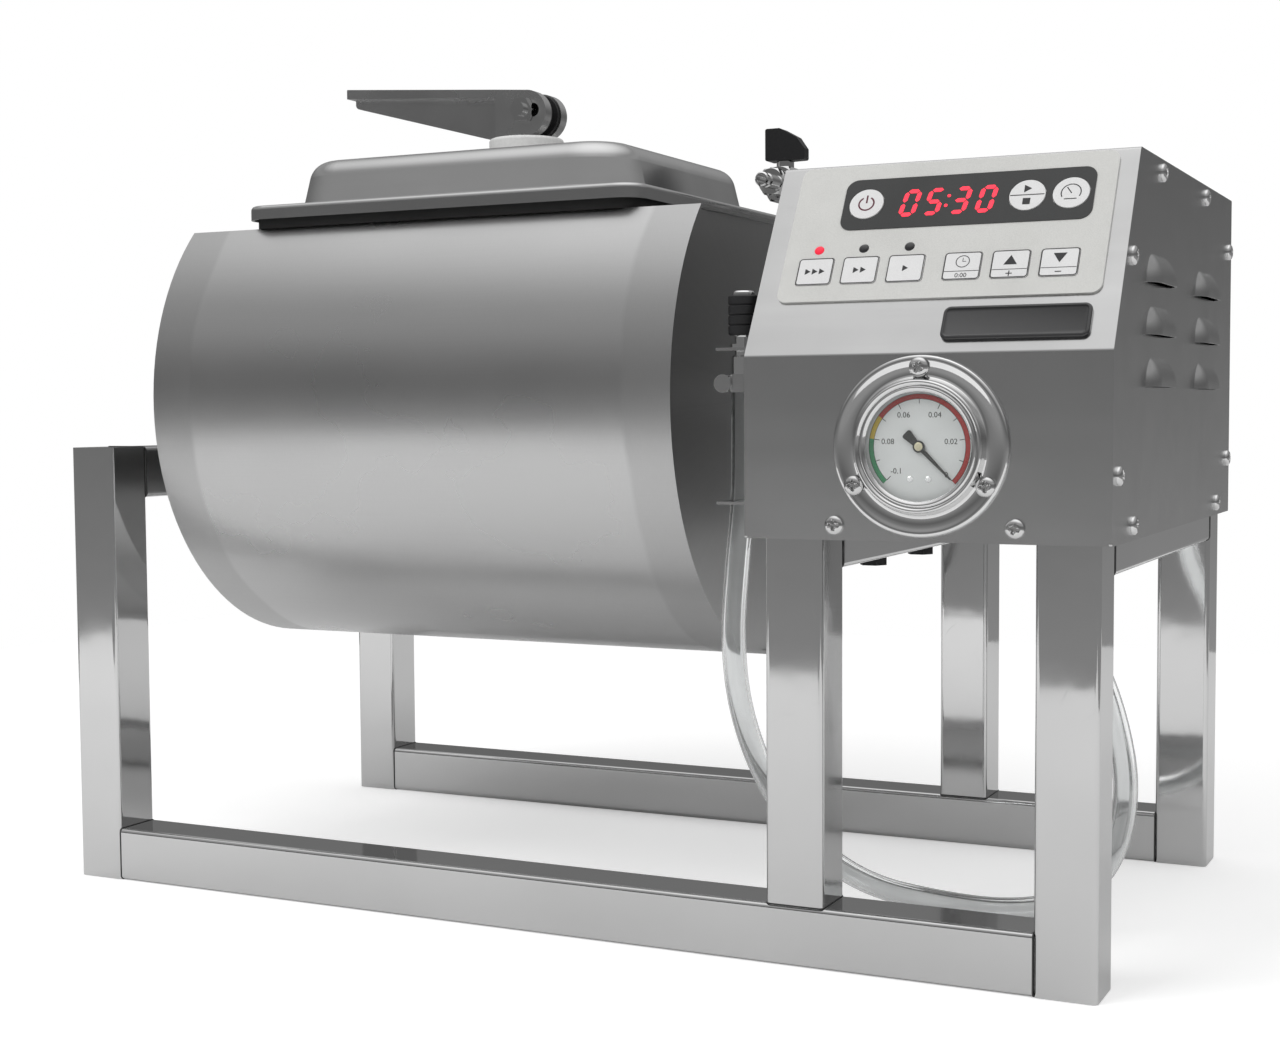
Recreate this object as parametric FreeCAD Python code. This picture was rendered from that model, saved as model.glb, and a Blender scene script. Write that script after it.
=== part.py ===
"""Bench-top meat vacuum tumbler, as an assembly of separate pieces.  Millimetres.

A stainless tube frame carries a drum that turns about a level axis on two pillow
blocks.  A control box at the right end holds the gearmotor, the vacuum pump and the
control board.  The drum is loaded through a mouth in its flattened top, under a
pressed lid that a cam lever pulls down.  A clear hose runs from the pump to a quick
coupler, which is parked beside the drum while it turns.

The building frame: X runs along the drum from the left posts, Y from the front of
the frame to its back, Z up from the table.  Before export every piece is moved so
that the origin lies under the middle of the whole machine.
"""
import FreeCAD, Part
import math
import os

Vector = FreeCAD.Vector

# ---------------------------------------------------------------- driving dimensions
# Frame of square tube
TUBE = 30.0                   # outer side of the square tube
TUBE_WALL = 1.5
TUBE_CORNER = 2.5             # outer corner radius of the tube
CAP_THICKNESS = 1.5           # plate welded over an open post
FRAME_DEPTH = 320.0
BOX_BAY = 103.0               # gap between the middle and the right posts
SEAT_BELOW_AXIS = 55.0        # drum axis to the top of the posts that carry the box

# Drum
DRUM_AXIS_Z = 279.0
DRUM_RADIUS = 146.5
DRUM_LENGTH = 330.0
DRUM_WALL = 2.0
FLAT_HEIGHT = 100.5           # drum axis to the flat top
DRUM_LEFT_GAP = 20.5          # left posts to the drum
DRUM_RIGHT_GAP = 46.9         # drum to the control box
END_INSET = 3.0               # end plate behind the rim of the shell
END_THICKNESS = 3.0
WELD_GAP = 0.1                # clearance of pieces welded inside the shell
BAFFLE_HEIGHT = 25.0
BAFFLE_BASE = 32.0
BAFFLE_SHEET = 1.5
BAFFLE_END_GAP = 12.0
BAFFLE_ANGLES = (90.0, 180.0, 270.0)   # from the flat top, about the drum axis

# Mouth, gasket and lid
LID_LEFT_LEDGE = 39.0         # flat top left of the lid
LID_RIGHT_LEDGE = 35.0        # flat top right of the lid, where the valve stands
LID_WIDTH = 224.0
MOUTH_LEDGE = 23.0            # lid's rim to the mouth, at the ends
MOUTH_SIDE_LEDGE = 32.0       # lid's rim to the mouth, front and back
MOUTH_CORNER = 30.0
GASKET_INSET = 3.5            # gasket inside the lid's rim
GASKET_MARGIN = 4.0           # gasket's inner edge outside the mouth
GASKET_SHOW = 5.1             # gasket below the lid's rim
LID_RIM = 8.1                 # depth of the lid's turned-down rim
LID_SHEET = 1.8
LID_CORNER = 14.0
LID_RIM_ROUND = 2.5
DOME_LEDGE = 16.5             # lid's rim to the foot of the dome, at the ends
DOME_SIDE_LEDGE = 14.5        # lid's rim to the foot of the dome, front and back
DOME_HEIGHT = 27.3            # top of the lid above its rim
DOME_DRAFT = 7.0              # how far each side leans in over the height
DOME_CORNER = 34.0
DOME_ROUND = 13.0             # radius of the pressed top edge
DOME_FOOT_ROUND = 3.0

# Cam clamp
STEM_RADIUS = 5.0
PAD_RADIUS = 22.5
PAD_HEIGHT = 16.3
PAD_ROUND = 2.0
PIVOT_AHEAD = 6.5             # pivot to the right of the stem, on its cranked eye
CAM_GAP = 0.3                 # closed cam above the pad
CAM_RADIUS = 13.5
CAM_OFFSET = 1.4              # pivot above the centre of the cam
CAM_AHEAD = 0.7               # centre of the cam to the right of the pivot
CHEEK_WIDTH = 27.0            # over both cheeks
CHEEK_THICKNESS = 7.5
CHEEK_BACK = 20.5             # pivot to the cheeks' square end
PIVOT_SLOT = 5.5              # how far the cheeks' holes run on past the pivot
EYE_WIDTH = 6.0
EYE_RADIUS = 10.0
EYE_EASE = 3.0                # eye to the closed end of the slot between the cheeks
SPACER_RADIUS = 12.6
SIDE_GAP = 0.3                # between a turning piece and the one beside it
PIVOT_RADIUS = 4.0
RUNNING_GAP = 0.08            # radial clearance of a turning pin or shaft
LEVER_LENGTH = 131.0          # pivot to tip
LEVER_RISE = 22.9             # tip's upper edge above the pivot
LEVER_TIP = 5.8               # depth of the flange at the tip
LEVER_ROOT = 4.2              # depth of the flange where it meets the cheeks
LEVER_TIP_WIDTH = 19.0
LEVER_WEB = 9.0
LEVER_WEB_START = 4.5         # tip to the web under the flange
LEVER_WEB_DEPTH = 11.3        # web's lower edge under the flange's top, at the tip
LEVER_WEB_RUN = 11.5          # how far the web's lower edge runs on past the cheeks
LEVER_ROUND = 1.4
BAR_EASE = 11.0               # bar's ends inside the mouth, which it is turned to pass
BAR_WIDTH = 24.0
BAR_THICKNESS = 9.0
BAR_TOE_LENGTH = 16.0         # raised ends of the bar, which bear under the flat top
BAR_TOE_HEIGHT = 5.0

# Drum bearings and shafts
SHAFT_RADIUS = 10.0
HUB_RADIUS = 36.0
HUB_THICKNESS = 6.0
BEARING_HEIGHT = 26.0         # foot of a pillow block to its bore
BEARING_WIDTH = 26.0
BEARING_RADIUS = 27.0
BEARING_FOOT = 9.0
BEARING_LENGTH = 106.0
BEARING_BOLT_SPACING = 83.0
INSERT_RADIUS = 20.0
BOLT_RADIUS = 4.0
BOLT_HEAD_FLATS = 13.0
BOLT_HEAD_HEIGHT = 5.5
BOLT_TAIL = 3.0               # thread beyond the nut
BOLT_CLEARANCE = 0.3

# Control box of folded sheet
SHEET = 1.5
BOX_FRONT_GAP = 0.5           # inside of the front sheet to the posts
BOX_LEFT_OVERHANG = 9.6       # past the middle posts
BOX_RIGHT_OVERHANG = 5.3      # past the right posts
SKIRT = 14.0                  # panels below the box floor
FOLD_HEIGHT = 74.0            # box seat to the fold below the sloping panel
BOX_HEIGHT = 170.0            # box seat to the flat top
SLOPE_DEPTH = 56.5            # how far the sloping panel leans back
FLANGE = 16.0                 # folded edges that the side panels are screwed to
FLANGE_EASE = 1.0             # gap between two folded edges
BEND_RADIUS = 2.5
FLOOR_FLANGE_EASE = 0.6       # folded edge of the floor to the posts
SHAFT_HOLE_EASE = 4.0

# Louvres in the right panel
LOUVRE_RISE = 5.5
LOUVRE_HEIGHT = 14.0
LOUVRE_LENGTH = 62.0
LOUVRE_SHEET = 1.2
LOUVRE_PITCH = 25.0
LOUVRE_ROWS = 3
LOUVRE_TOP_DROP = 62.0        # box top to the lower edge of the top row
LOUVRE_COLUMNS = (102.5, 235.0)   # from the front of the box to each column's middle

# Pan-head screws
SCREW_HEAD_RADIUS = 4.6
SCREW_HEAD_HEIGHT = 2.6
SCREW_RADIUS = 2.4
SCREW_LENGTH = 4.6            # shorter than the gap to the posts behind the panels
SCREW_CLEARANCE = 0.2
SCREW_EDGE = 6.8              # screw to the free edge of a panel
SCREW_INSET = 11.2            # screw to the folded front and back edges
TOP_SCREW_FRONT = 52.0        # slope's top to the first screw along the top
TOP_SCREW_BACK = 90.0         # back of the box to the second
SLOPE_SCREW_SHARE = 0.46      # screw's height up the slope
FRONT_SCREW_RISE = 17.4       # box seat to the low screws
BACK_SCREW_RISE = 18.0
BACK_SCREW_DROP = 31.0        # box top to the upper back screw
POST_SCREW_FRONT = 12.0       # posts to the screws under the floor
POST_SCREW_BACK = 14.0
FRONT_SCREW_EXTRA = 2.0       # right front screw, further from its post

# Vacuum gauge
GAUGE_X = 88.9                # box left side to the gauge's centre
GAUGE_Z = 30.7                # box seat to the gauge's centre
GAUGE_FLANGE_RADIUS = 42.5
GAUGE_FLANGE = 2.5
GAUGE_SCREW_CIRCLE = 36.8
GAUGE_CASE_RADIUS = 30.0
GAUGE_BODY_RADIUS = 28.0      # case behind the front sheet, above the box floor
GAUGE_BODY_CHAMFER = 2.0
GAUGE_SOCKET_RADIUS = 6.5
GAUGE_SOCKET = 12.0
GAUGE_CASE_DEPTH = 27.0
GAUGE_CASE_WALL = 1.5
GAUGE_WINDOW_RADIUS = 25.5
GAUGE_BEZEL_WALL = 1.1
GAUGE_FOOT_CHAMFER = 0.6      # between the bezel and the flange
GAUGE_EDGE_CHAMFER = 1.0
GAUGE_LIP = 1.8
DIAL_THICKNESS = 0.8
DIAL_AIR = 0.5                # between the dial, the needle and the lens
NEEDLE_THICKNESS = 0.8
NEEDLE_LENGTH = 21.5
NEEDLE_TAIL = 9.0
NEEDLE_HUB = 2.8
NEEDLE_TIP_WIDTH = 0.6
NEEDLE_WAIST = 2.2
NEEDLE_TAIL_WIDTH = 5.2
NEEDLE_ANGLE = -45.0          # from level right, at rest
LENS_THICKNESS = 2.0
ARBOR_RADIUS = 1.0

# Keypad on the sloping panel
OVERLAY_LEFT = 10.9
OVERLAY_LOW = 29.8
OVERLAY_WIDTH = 158.1
OVERLAY_HEIGHT = 79.7
OVERLAY_THICKNESS = 1.2
OVERLAY_CORNER = 5.0
WINDOW_LEFT = 36.0
WINDOW_LOW = 70.7
WINDOW_WIDTH = 123.6
WINDOW_HEIGHT = 29.9
WINDOW_CORNER = 6.0
WINDOW_THICKNESS = 0.4
DISPLAY_CENTRE = (89.8, 85.0)
DISPLAY_SIZE = (52.0, 20.0)
ROUND_KEY_RADIUS = 8.7
ROUND_KEY_ROW = 85.7          # height of the round keys up the panel
POWER_KEY_X = 47.9            # left side of the box to each round key
START_KEY_X = 127.8
VACUUM_KEY_X = 148.6
SQUARE_KEY = (17.8, 15.2)
SQUARE_KEY_ROW = 47.0         # height of the lower keys up the panel
SQUARE_KEY_ROUND = 1.5
SPEED_KEYS_X = 28.1           # left side of the box to the first speed key
TIME_KEYS_X = 101.9           # and to the first time key
KEY_PITCH = 23.0
KEY_THICKNESS = 0.9
KEY_AIR = 0.7                 # under a key, for its stroke
KEY_GAP = 0.3
LIGHT_ROW = 59.6
LIGHT_COUNT = 3               # over the first keys of the lower row
LIGHT_RADIUS = 2.4
LIGHT_RISE = 0.9
BADGE_LEFT = 97.0
BADGE_LOW = 6.3
BADGE_WIDTH = 69.4
BADGE_HEIGHT = 18.0
BADGE_THICKNESS = 2.2
BADGE_CORNER = 4.0

# Gearmotor, vacuum pump and board inside the box
GEARBOX_WIDTH = 50.0
GEARBOX_DEPTH = 84.0
GEARBOX_BELOW = 44.0
GEARBOX_ABOVE = 56.0
GEARBOX_GAP = 25.0            # right bearing to the gearbox
GEARBOX_BOSS_RADIUS = 25.0
GEARBOX_BOSS = 4.0
GEARBOX_ROUND = 8.0
GEARBOX_FOOT = 6.0
GEARBOX_TOE = 10.0            # foot in front of the housing
WORM_RISE = 32.0
MOTOR_RADIUS = 42.0
MOTOR_FLANGE = 8.0
MOTOR_COWL = 14.0
MOTOR_BACK_GAP = 8.5          # cowl to the back panel
TERMINAL_BOX = (46.0, 40.0, 22.0)
TERMINAL_GAP = 20.0           # motor flange to the terminal box
SHAFT_END = 4.0               # shaft beyond the gearbox
PUMP_GAP = 3.0                # pump to the riser behind it
PUMP_X = 26.0                 # box left side to the pump
PUMP_SIZE = (96.0, 46.0, 56.0)
PUMP_FOOT = 7.0
PUMP_FOOT_RADIUS = 7.0
PUMP_HEAD = 40.0              # length of the diaphragm head
PUMP_MOTOR_RADIUS = 22.4
PUMP_SADDLE_START = 48.0
PUMP_SADDLE = (29.0, 18.0)    # length and depth of the saddle under the motor
BOARD_DEPTH = 16.0            # sloping sheet to the board
BOARD_THICKNESS = 1.6
STANDOFF_RADIUS = 3.0
STANDOFF_INSET = 5.0          # board's ends to the standoffs
BOARD_CORNER = 2.0
DISPLAY_EASE = 1.0            # display block inside its window

# Vacuum hose, its fittings and its parking bracket
HOSE_RADIUS = 6.25
COUPLER_OUT = 10.4            # box left side to the coupler
COUPLER_Y = 22.5
COUPLER_SEAT = 303.0          # top of the parking bracket
BRACKET_PLATE = 1.5
BRACKET_REACH = 19.5
BRACKET_WIDTH = 28.0
BRACKET_TAB = 16.0
GUIDE_Z = 227.0
GUIDE_EASE = 1.5              # guide's hole around the hose
COUPLER_COLLAR_RADIUS = 6.8   # shoulder that rests on the bracket
COUPLER_COLLAR = 2.0
COUPLER_NECK_RADIUS = 4.4
COUPLER_NECK = 3.6            # neck under the bracket, above the hose nut
COUPLER_NUT_RADIUS = 6.0
COUPLER_BODY_RADIUS = 5.7     # under the sleeve
COUPLER_LIP = 2.0             # mouth of the body above the sleeve
COUPLER_BEVEL = 0.8
SLEEVE_RADIUS = 7.6
SLEEVE_LENGTH = 20.0
SLEEVE_STROKE = 4.0
SLEEVE_GROOVE = 0.6           # depth and half width of the sleeve's grooves
SLEEVE_GROOVES = 3
SOCKET_RADIUS = 4.65
SOCKET_DEPTH = 14.0
COUPLER_DROP = 13.0           # bracket to the hose
CLAMP_WIDTH = 9.0
CLAMP_BAND = 0.9
CLAMP_SCREW_RADIUS = 2.6
CLAMP_SCREW_LENGTH = 13.0
CLAMP_HEAD_RADIUS = 4.6
CLAMP_HEAD = 3.2
BARB_REACH = 130.6            # box left side to the barb
BARB_FORWARD = 32.0           # barb in front of the drum's axis
BARB_DROP = 19.0              # box seat to the hose
BARB_HEX_FLATS = 17.0
BARB_STEM_RADIUS = 6.0
# The route bends here: from the box's left side, share of the way back from the coupler
# to the barb, and height over the table.
HOSE_ROUTE = ((130.6, 1.000, 178.0), (140.6, 0.935, 148.0), (155.6, 0.870, 116.0),
              (163.6, 0.833, 78.0), (156.6, 0.824, 42.0), (134.6, 0.843, 17.0),
              (100.6, 0.889, 7.4), (60.6, 0.917, 7.6), (24.6, 0.833, 15.0),
              (-1.4, 0.648, 38.0), (-17.4, 0.426, 76.0), (-23.4, 0.231, 116.0),
              (-21.4, 0.093, 155.0), (-15.4, 0.019, 192.0), (-10.8, 0.001, 227.0),
              (-10.4, 0.000, 259.0))

# Vacuum valve on the drum
VALVE_X = 15.0                # valve's axis inside the right rim of the drum
VALVE_STEM_Y = 210.0
VALVE_AXIS_RISE = 26.0        # flat top to the valve's axis
VALVE_BODY_RADIUS = 6.5
VALVE_BALL_RADIUS = 10.0
VALVE_BALL_LENGTH = 22.0
VALVE_FRONT = 24.0            # stem to the front end of the body
VALVE_FRONT_FLATS = 15.0
VALVE_FRONT_NUT = 7.0
VALVE_ELBOW = 30.0            # stem to the elbow
VALVE_ELBOW_RADIUS = 9.0
VALVE_PIPE_RADIUS = 6.6
VALVE_NUT_FLATS = 19.0
VALVE_NUT_HEIGHT = 7.0
VALVE_BEVEL = 1.0
PLUG_LENGTH = 14.0
PLUG_PIN = 6.3                # plain front part of the plug
PLUG_RADIUS = 4.2
PLUG_GROOVE = 0.8
PLUG_BORE = 2.9
PLUG_BORE_DEPTH = 9.0
HANDLE_LENGTH = 24.0
HANDLE_BEHIND = 10.5          # stem to the handle's high end
HANDLE_WIDTH = 12.0
HANDLE_NOSE_WIDTH = 7.0
HANDLE_HEIGHT = 19.0
HANDLE_CREST = 9.0            # length of the level top
HANDLE_KNEE = 5.0             # low end to the knee of the sloping top
HANDLE_KNEE_HEIGHT = 13.5
HANDLE_NOSE_HEIGHT = 6.5
HANDLE_ROUND = 1.2
HANDLE_STEM_RADIUS = 3.2
HANDLE_AIR = 3.9

# Mains cable gland in the back panel
GLAND_RADIUS = 9.0
GLAND_BORE = 4.0
GLAND_LENGTH = 20.0
GLAND_FLATS = 20.0
GLAND_X = 60.0                # box left side to the gland
GLAND_RISE = 22.0             # box seat to the gland

# ------------------------------------------------------------------- worked-out places
DRUM_X0 = TUBE + DRUM_LEFT_GAP
DRUM_X1 = DRUM_X0 + DRUM_LENGTH
BOX_X0 = DRUM_X1 + DRUM_RIGHT_GAP
MIDDLE_X0 = BOX_X0 + BOX_LEFT_OVERHANG
MIDDLE_X1 = MIDDLE_X0 + TUBE
RIGHT_X0 = MIDDLE_X1 + BOX_BAY
FRAME_LENGTH = RIGHT_X0 + TUBE
BOX_X1 = FRAME_LENGTH + BOX_RIGHT_OVERHANG
AXIS_Y = FRAME_DEPTH / 2
LEFT_POST_Z = DRUM_AXIS_Z - BEARING_HEIGHT
BOX_SEAT_Z = DRUM_AXIS_Z - SEAT_BELOW_AXIS
FLAT_Z = DRUM_AXIS_Z + FLAT_HEIGHT

BOX_Y0 = -BOX_FRONT_GAP - SHEET
BOX_Y1 = FRAME_DEPTH + BOX_FRONT_GAP + SHEET
SKIRT_Z = BOX_SEAT_Z - SKIRT
FLOOR_Z = BOX_SEAT_Z + SHEET
FOLD_Z = BOX_SEAT_Z + FOLD_HEIGHT
BOX_TOP = BOX_SEAT_Z + BOX_HEIGHT
SLOPE_TOP_Y = BOX_Y0 + SLOPE_DEPTH
SLOPE_TILT = math.degrees(math.atan2(BOX_TOP - FOLD_Z, SLOPE_DEPTH))

LID_LENGTH = DRUM_LENGTH - LID_LEFT_LEDGE - LID_RIGHT_LEDGE
LID_X = DRUM_X0 + LID_LEFT_LEDGE + LID_LENGTH / 2
GASKET_LENGTH = LID_LENGTH - 2 * GASKET_INSET
GASKET_WIDTH = LID_WIDTH - 2 * GASKET_INSET
MOUTH_LENGTH = LID_LENGTH - 2 * MOUTH_LEDGE
MOUTH_WIDTH = LID_WIDTH - 2 * MOUTH_SIDE_LEDGE
DOME_LENGTH = LID_LENGTH - 2 * DOME_LEDGE
DOME_WIDTH = LID_WIDTH - 2 * DOME_SIDE_LEDGE
BAR_LENGTH = MOUTH_LENGTH - 2 * BAR_EASE
RIM_Z = FLAT_Z + GASKET_SHOW
RIM_TOP = RIM_Z + LID_RIM
LID_TOP = RIM_TOP + DOME_HEIGHT
PAD_TOP = LID_TOP + PAD_HEIGHT
CAM_Z = PAD_TOP + CAM_GAP + CAM_RADIUS
PIVOT_Z = CAM_Z + CAM_OFFSET
PIVOT_X = LID_X + PIVOT_AHEAD
CAM_X = PIVOT_X + CAM_AHEAD
BAR_TOP = FLAT_Z - DRUM_WALL - SIDE_GAP

RIGHT_BEARING_X = (MIDDLE_X0 + MIDDLE_X1) / 2
GEARBOX_X0 = RIGHT_BEARING_X + BEARING_WIDTH / 2 + GEARBOX_GAP
GEARBOX_X1 = GEARBOX_X0 + GEARBOX_WIDTH
WORM_Z = DRUM_AXIS_Z + WORM_RISE
MOTOR_Y0 = AXIS_Y + GEARBOX_DEPTH / 2
MOTOR_Y1 = BOX_Y1 - SHEET - MOTOR_BACK_GAP
PUMP_Y0 = AXIS_Y - BEARING_LENGTH / 2 - PUMP_GAP - PUMP_SIZE[1]

COUPLER_X = BOX_X0 - COUPLER_OUT
SLEEVE_LOW = COUPLER_SEAT + COUPLER_COLLAR + SIDE_GAP + SLEEVE_STROKE
COUPLER_TOP = SLEEVE_LOW + SLEEVE_LENGTH + COUPLER_LIP
BARB_X = BOX_X0 + BARB_REACH
BARB_Y = AXIS_Y - BARB_FORWARD
HOSE_START = Vector(BARB_X, BARB_Y, BOX_SEAT_Z - BARB_DROP)
HOSE_END = Vector(COUPLER_X, COUPLER_Y, COUPLER_SEAT - COUPLER_DROP)
VALVE_PLACE = Vector(DRUM_X1 - VALVE_X, VALVE_STEM_Y, FLAT_Z + VALVE_AXIS_RISE)

GAUGE_PLACE = Vector(BOX_X0 + GAUGE_X, BOX_Y0, BOX_SEAT_Z + GAUGE_Z)
LENS_REST = DIAL_AIR * 2 + DIAL_THICKNESS + NEEDLE_THICKNESS + DIAL_AIR
GAUGE_RISE = LENS_REST + LENS_THICKNESS + GAUGE_LIP

# The outermost faces of the machine, which set where its origin lies
REACH_RIGHT = BOX_X1 + LOUVRE_RISE
REACH_FRONT = BOX_Y0 - GAUGE_RISE
REACH_BACK = BOX_Y1 + GLAND_LENGTH
ORIGIN = Vector(REACH_RIGHT / 2, (REACH_FRONT + REACH_BACK) / 2, 0)

ROUND_KEYS = {"key_power": POWER_KEY_X, "key_start": START_KEY_X, "key_vacuum": VACUUM_KEY_X}
SQUARE_KEYS = {"key_fast": SPEED_KEYS_X, "key_medium": SPEED_KEYS_X + KEY_PITCH,
               "key_slow": SPEED_KEYS_X + 2 * KEY_PITCH, "key_clock": TIME_KEYS_X,
               "key_up": TIME_KEYS_X + KEY_PITCH, "key_down": TIME_KEYS_X + 2 * KEY_PITCH}

X_AXIS = Vector(1, 0, 0)
Y_AXIS = Vector(0, 1, 0)
Z_AXIS = Vector(0, 0, 1)


# ------------------------------------------------------------------------ shape helpers
def block(x0, x1, y0, y1, z0, z1):
    """A box between two values on each axis."""
    return Part.makeBox(x1 - x0, y1 - y0, z1 - z0, Vector(x0, y0, z0))


def rod(start, direction, radius, length):
    """A round bar from a start point along a direction."""
    return Part.makeCylinder(radius, length, start, direction)


def ring(start, direction, outer, inner, length):
    """A round tube from a start point along a direction."""
    return rod(start, direction, outer, length).cut(rod(start, direction, inner, length))


def fuse(first, *others):
    """One solid from several that overlap or share faces."""
    return first.multiFuse(list(others)).removeSplitter()


def round_corner(before, corner, after, radius):
    """The start, middle and end of the arc that rounds a corner."""
    to_before = (before - corner).normalize()
    to_after = (after - corner).normalize()
    half = to_before.getAngle(to_after) / 2
    reach = radius / math.tan(half)
    inward = (to_before + to_after).normalize()
    middle = corner + inward * (radius / math.sin(half) - radius)
    return corner + to_before * reach, middle, corner + to_after * reach


def rounded_wire(points, radii, closed=True):
    """Straight runs through the points, joined by tangent arcs of the given radii."""
    count = len(points)
    corners = []
    for index, point in enumerate(points):
        at_end = not closed and index in (0, count - 1)
        if radii[index] <= 0 or at_end:
            corners.append((point, None, point))
        else:
            after = points[(index + 1) % count]
            corners.append(round_corner(points[index - 1], point, after, radii[index]))
    edges = []
    for index, (start, middle, end) in enumerate(corners):
        if middle is not None:
            edges.append(Part.Arc(start, middle, end).toShape())
        following = corners[(index + 1) % count][0]
        last = index == count - 1
        if (closed or not last) and end.distanceToPoint(following) > 1e-6:
            edges.append(Part.LineSegment(end, following).toShape())
    return Part.Wire(edges)


def prism(points, radii, along):
    """A closed outline with rounded corners, pushed along a vector."""
    return Part.Face(rounded_wire(points, radii)).extrude(along)


def plate_outline(centre, length, width, radius):
    """A level rounded rectangle about a centre, as a wire."""
    dx, dy = length / 2, width / 2
    corners = [centre + Vector(x, y, 0) for x, y in ((-dx, -dy), (dx, -dy), (dx, dy), (-dx, dy))]
    return rounded_wire(corners, [radius] * 4)


def plate(centre, length, width, radius, thickness):
    """A level plate with rounded corners, standing on its centre point."""
    outline = plate_outline(centre, length, width, radius)
    return Part.Face(outline).extrude(Vector(0, 0, thickness))


def revolve(outline, centre):
    """A solid turned about the upright line through a centre, from (radius, height) points."""
    points = [centre + Vector(radius, 0, height) for radius, height in outline]
    face = Part.Face(rounded_wire(points, [0] * len(points)))
    return face.revolve(centre, Z_AXIS, 360)


def hexagon(centre, direction, flats, length):
    """A hexagonal bar of a width across flats, from a centre along a direction."""
    radius = flats / math.sqrt(3)
    corners = [Vector(radius * math.cos(math.radians(60 * k)), radius * math.sin(math.radians(60 * k)), 0)
               for k in range(6)]
    bar = prism(corners, [0] * 6, Vector(0, 0, length))
    bar.Placement = FreeCAD.Placement(centre, FreeCAD.Rotation(Z_AXIS, direction))
    return bar


def on_panel(shape, place, tilt):
    """Lay a shape drawn flat, with +Z outwards, on a panel tilted about X."""
    moved = shape.copy()
    moved.Placement = FreeCAD.Placement(place, FreeCAD.Rotation(X_AXIS, tilt)).multiply(shape.Placement)
    return moved


def on_slope(shape):
    """Lay a flat-drawn shape on the sloping panel: X from its left side, Y up the slope."""
    return on_panel(shape, Vector(BOX_X0, BOX_Y0, FOLD_Z), SLOPE_TILT)


def on_gauge(shape):
    """Lay a flat-drawn shape on the front panel, about the gauge's centre."""
    return on_panel(shape, GAUGE_PLACE, 90)


def square_tube(start, direction, length):
    """A square tube with rounded corners; start is the low corner of its end face."""
    low = Vector(*start)
    centre_up = Vector(TUBE / 2, TUBE / 2, 0)
    tube = plate(centre_up, TUBE, TUBE, TUBE_CORNER, length)
    bore_side = TUBE - 2 * TUBE_WALL
    bore_corner = TUBE_CORNER - TUBE_WALL
    tube = tube.cut(plate(centre_up, bore_side, bore_side, bore_corner, length))
    if direction == X_AXIS:
        turn = FreeCAD.Rotation(Y_AXIS, 90)
        low = low + Vector(0, 0, TUBE)
    elif direction == Y_AXIS:
        turn = FreeCAD.Rotation(X_AXIS, -90)
        low = low + Vector(0, 0, TUBE)
    else:
        turn = FreeCAD.Rotation()
    tube.Placement = FreeCAD.Placement(low, turn)
    return tube


# --------------------------------------------------------------------------------- frame
def bearing_bolt_places(bearing_x):
    """The two bolt centres of a pillow block, at table level."""
    half = BEARING_BOLT_SPACING / 2
    return [Vector(bearing_x, AXIS_Y + side * half, 0) for side in (-1, 1)]


def make_frame():
    """The welded tube frame: rails, posts with capped tops, and cross members."""
    back_y = FRAME_DEPTH - TUBE
    inner_depth = FRAME_DEPTH - 2 * TUBE
    rail_length = RIGHT_X0 - TUBE
    rails = [square_tube((TUBE, y, 0), X_AXIS, rail_length) for y in (0, back_y)]
    left_posts = []
    for y in (0, back_y):
        left_posts.append(square_tube((0, y, 0), Z_AXIS, LEFT_POST_Z - CAP_THICKNESS))
        cap_place = Vector(TUBE / 2, y + TUBE / 2, LEFT_POST_Z - CAP_THICKNESS)
        left_posts.append(plate(cap_place, TUBE, TUBE, TUBE_CORNER, CAP_THICKNESS))
    box_posts = []
    for y in (0, back_y):
        box_posts.append(square_tube((MIDDLE_X0, y, TUBE), Z_AXIS, BOX_SEAT_Z - TUBE))
        box_posts.append(square_tube((RIGHT_X0, y, 0), Z_AXIS, BOX_SEAT_Z))
    left_member = square_tube((0, TUBE, LEFT_POST_Z - TUBE), Y_AXIS, inner_depth)
    box_members = [square_tube((x, TUBE, BOX_SEAT_Z - TUBE), Y_AXIS, inner_depth)
                   for x in (MIDDLE_X0, RIGHT_X0)]
    for place in bearing_bolt_places(TUBE / 2):
        left_member = left_member.cut(rod(place, Z_AXIS, BOLT_RADIUS + BOLT_CLEARANCE, LEFT_POST_Z))
    for place in bearing_bolt_places(RIGHT_BEARING_X):
        box_members[0] = box_members[0].cut(
            rod(place, Z_AXIS, BOLT_RADIUS + BOLT_CLEARANCE, BOX_SEAT_Z))
    return {"bottom_rails": rails, "left_posts": left_posts, "left_cross_member": [left_member],
            "box_posts": box_posts, "box_cross_members": box_members}


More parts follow.
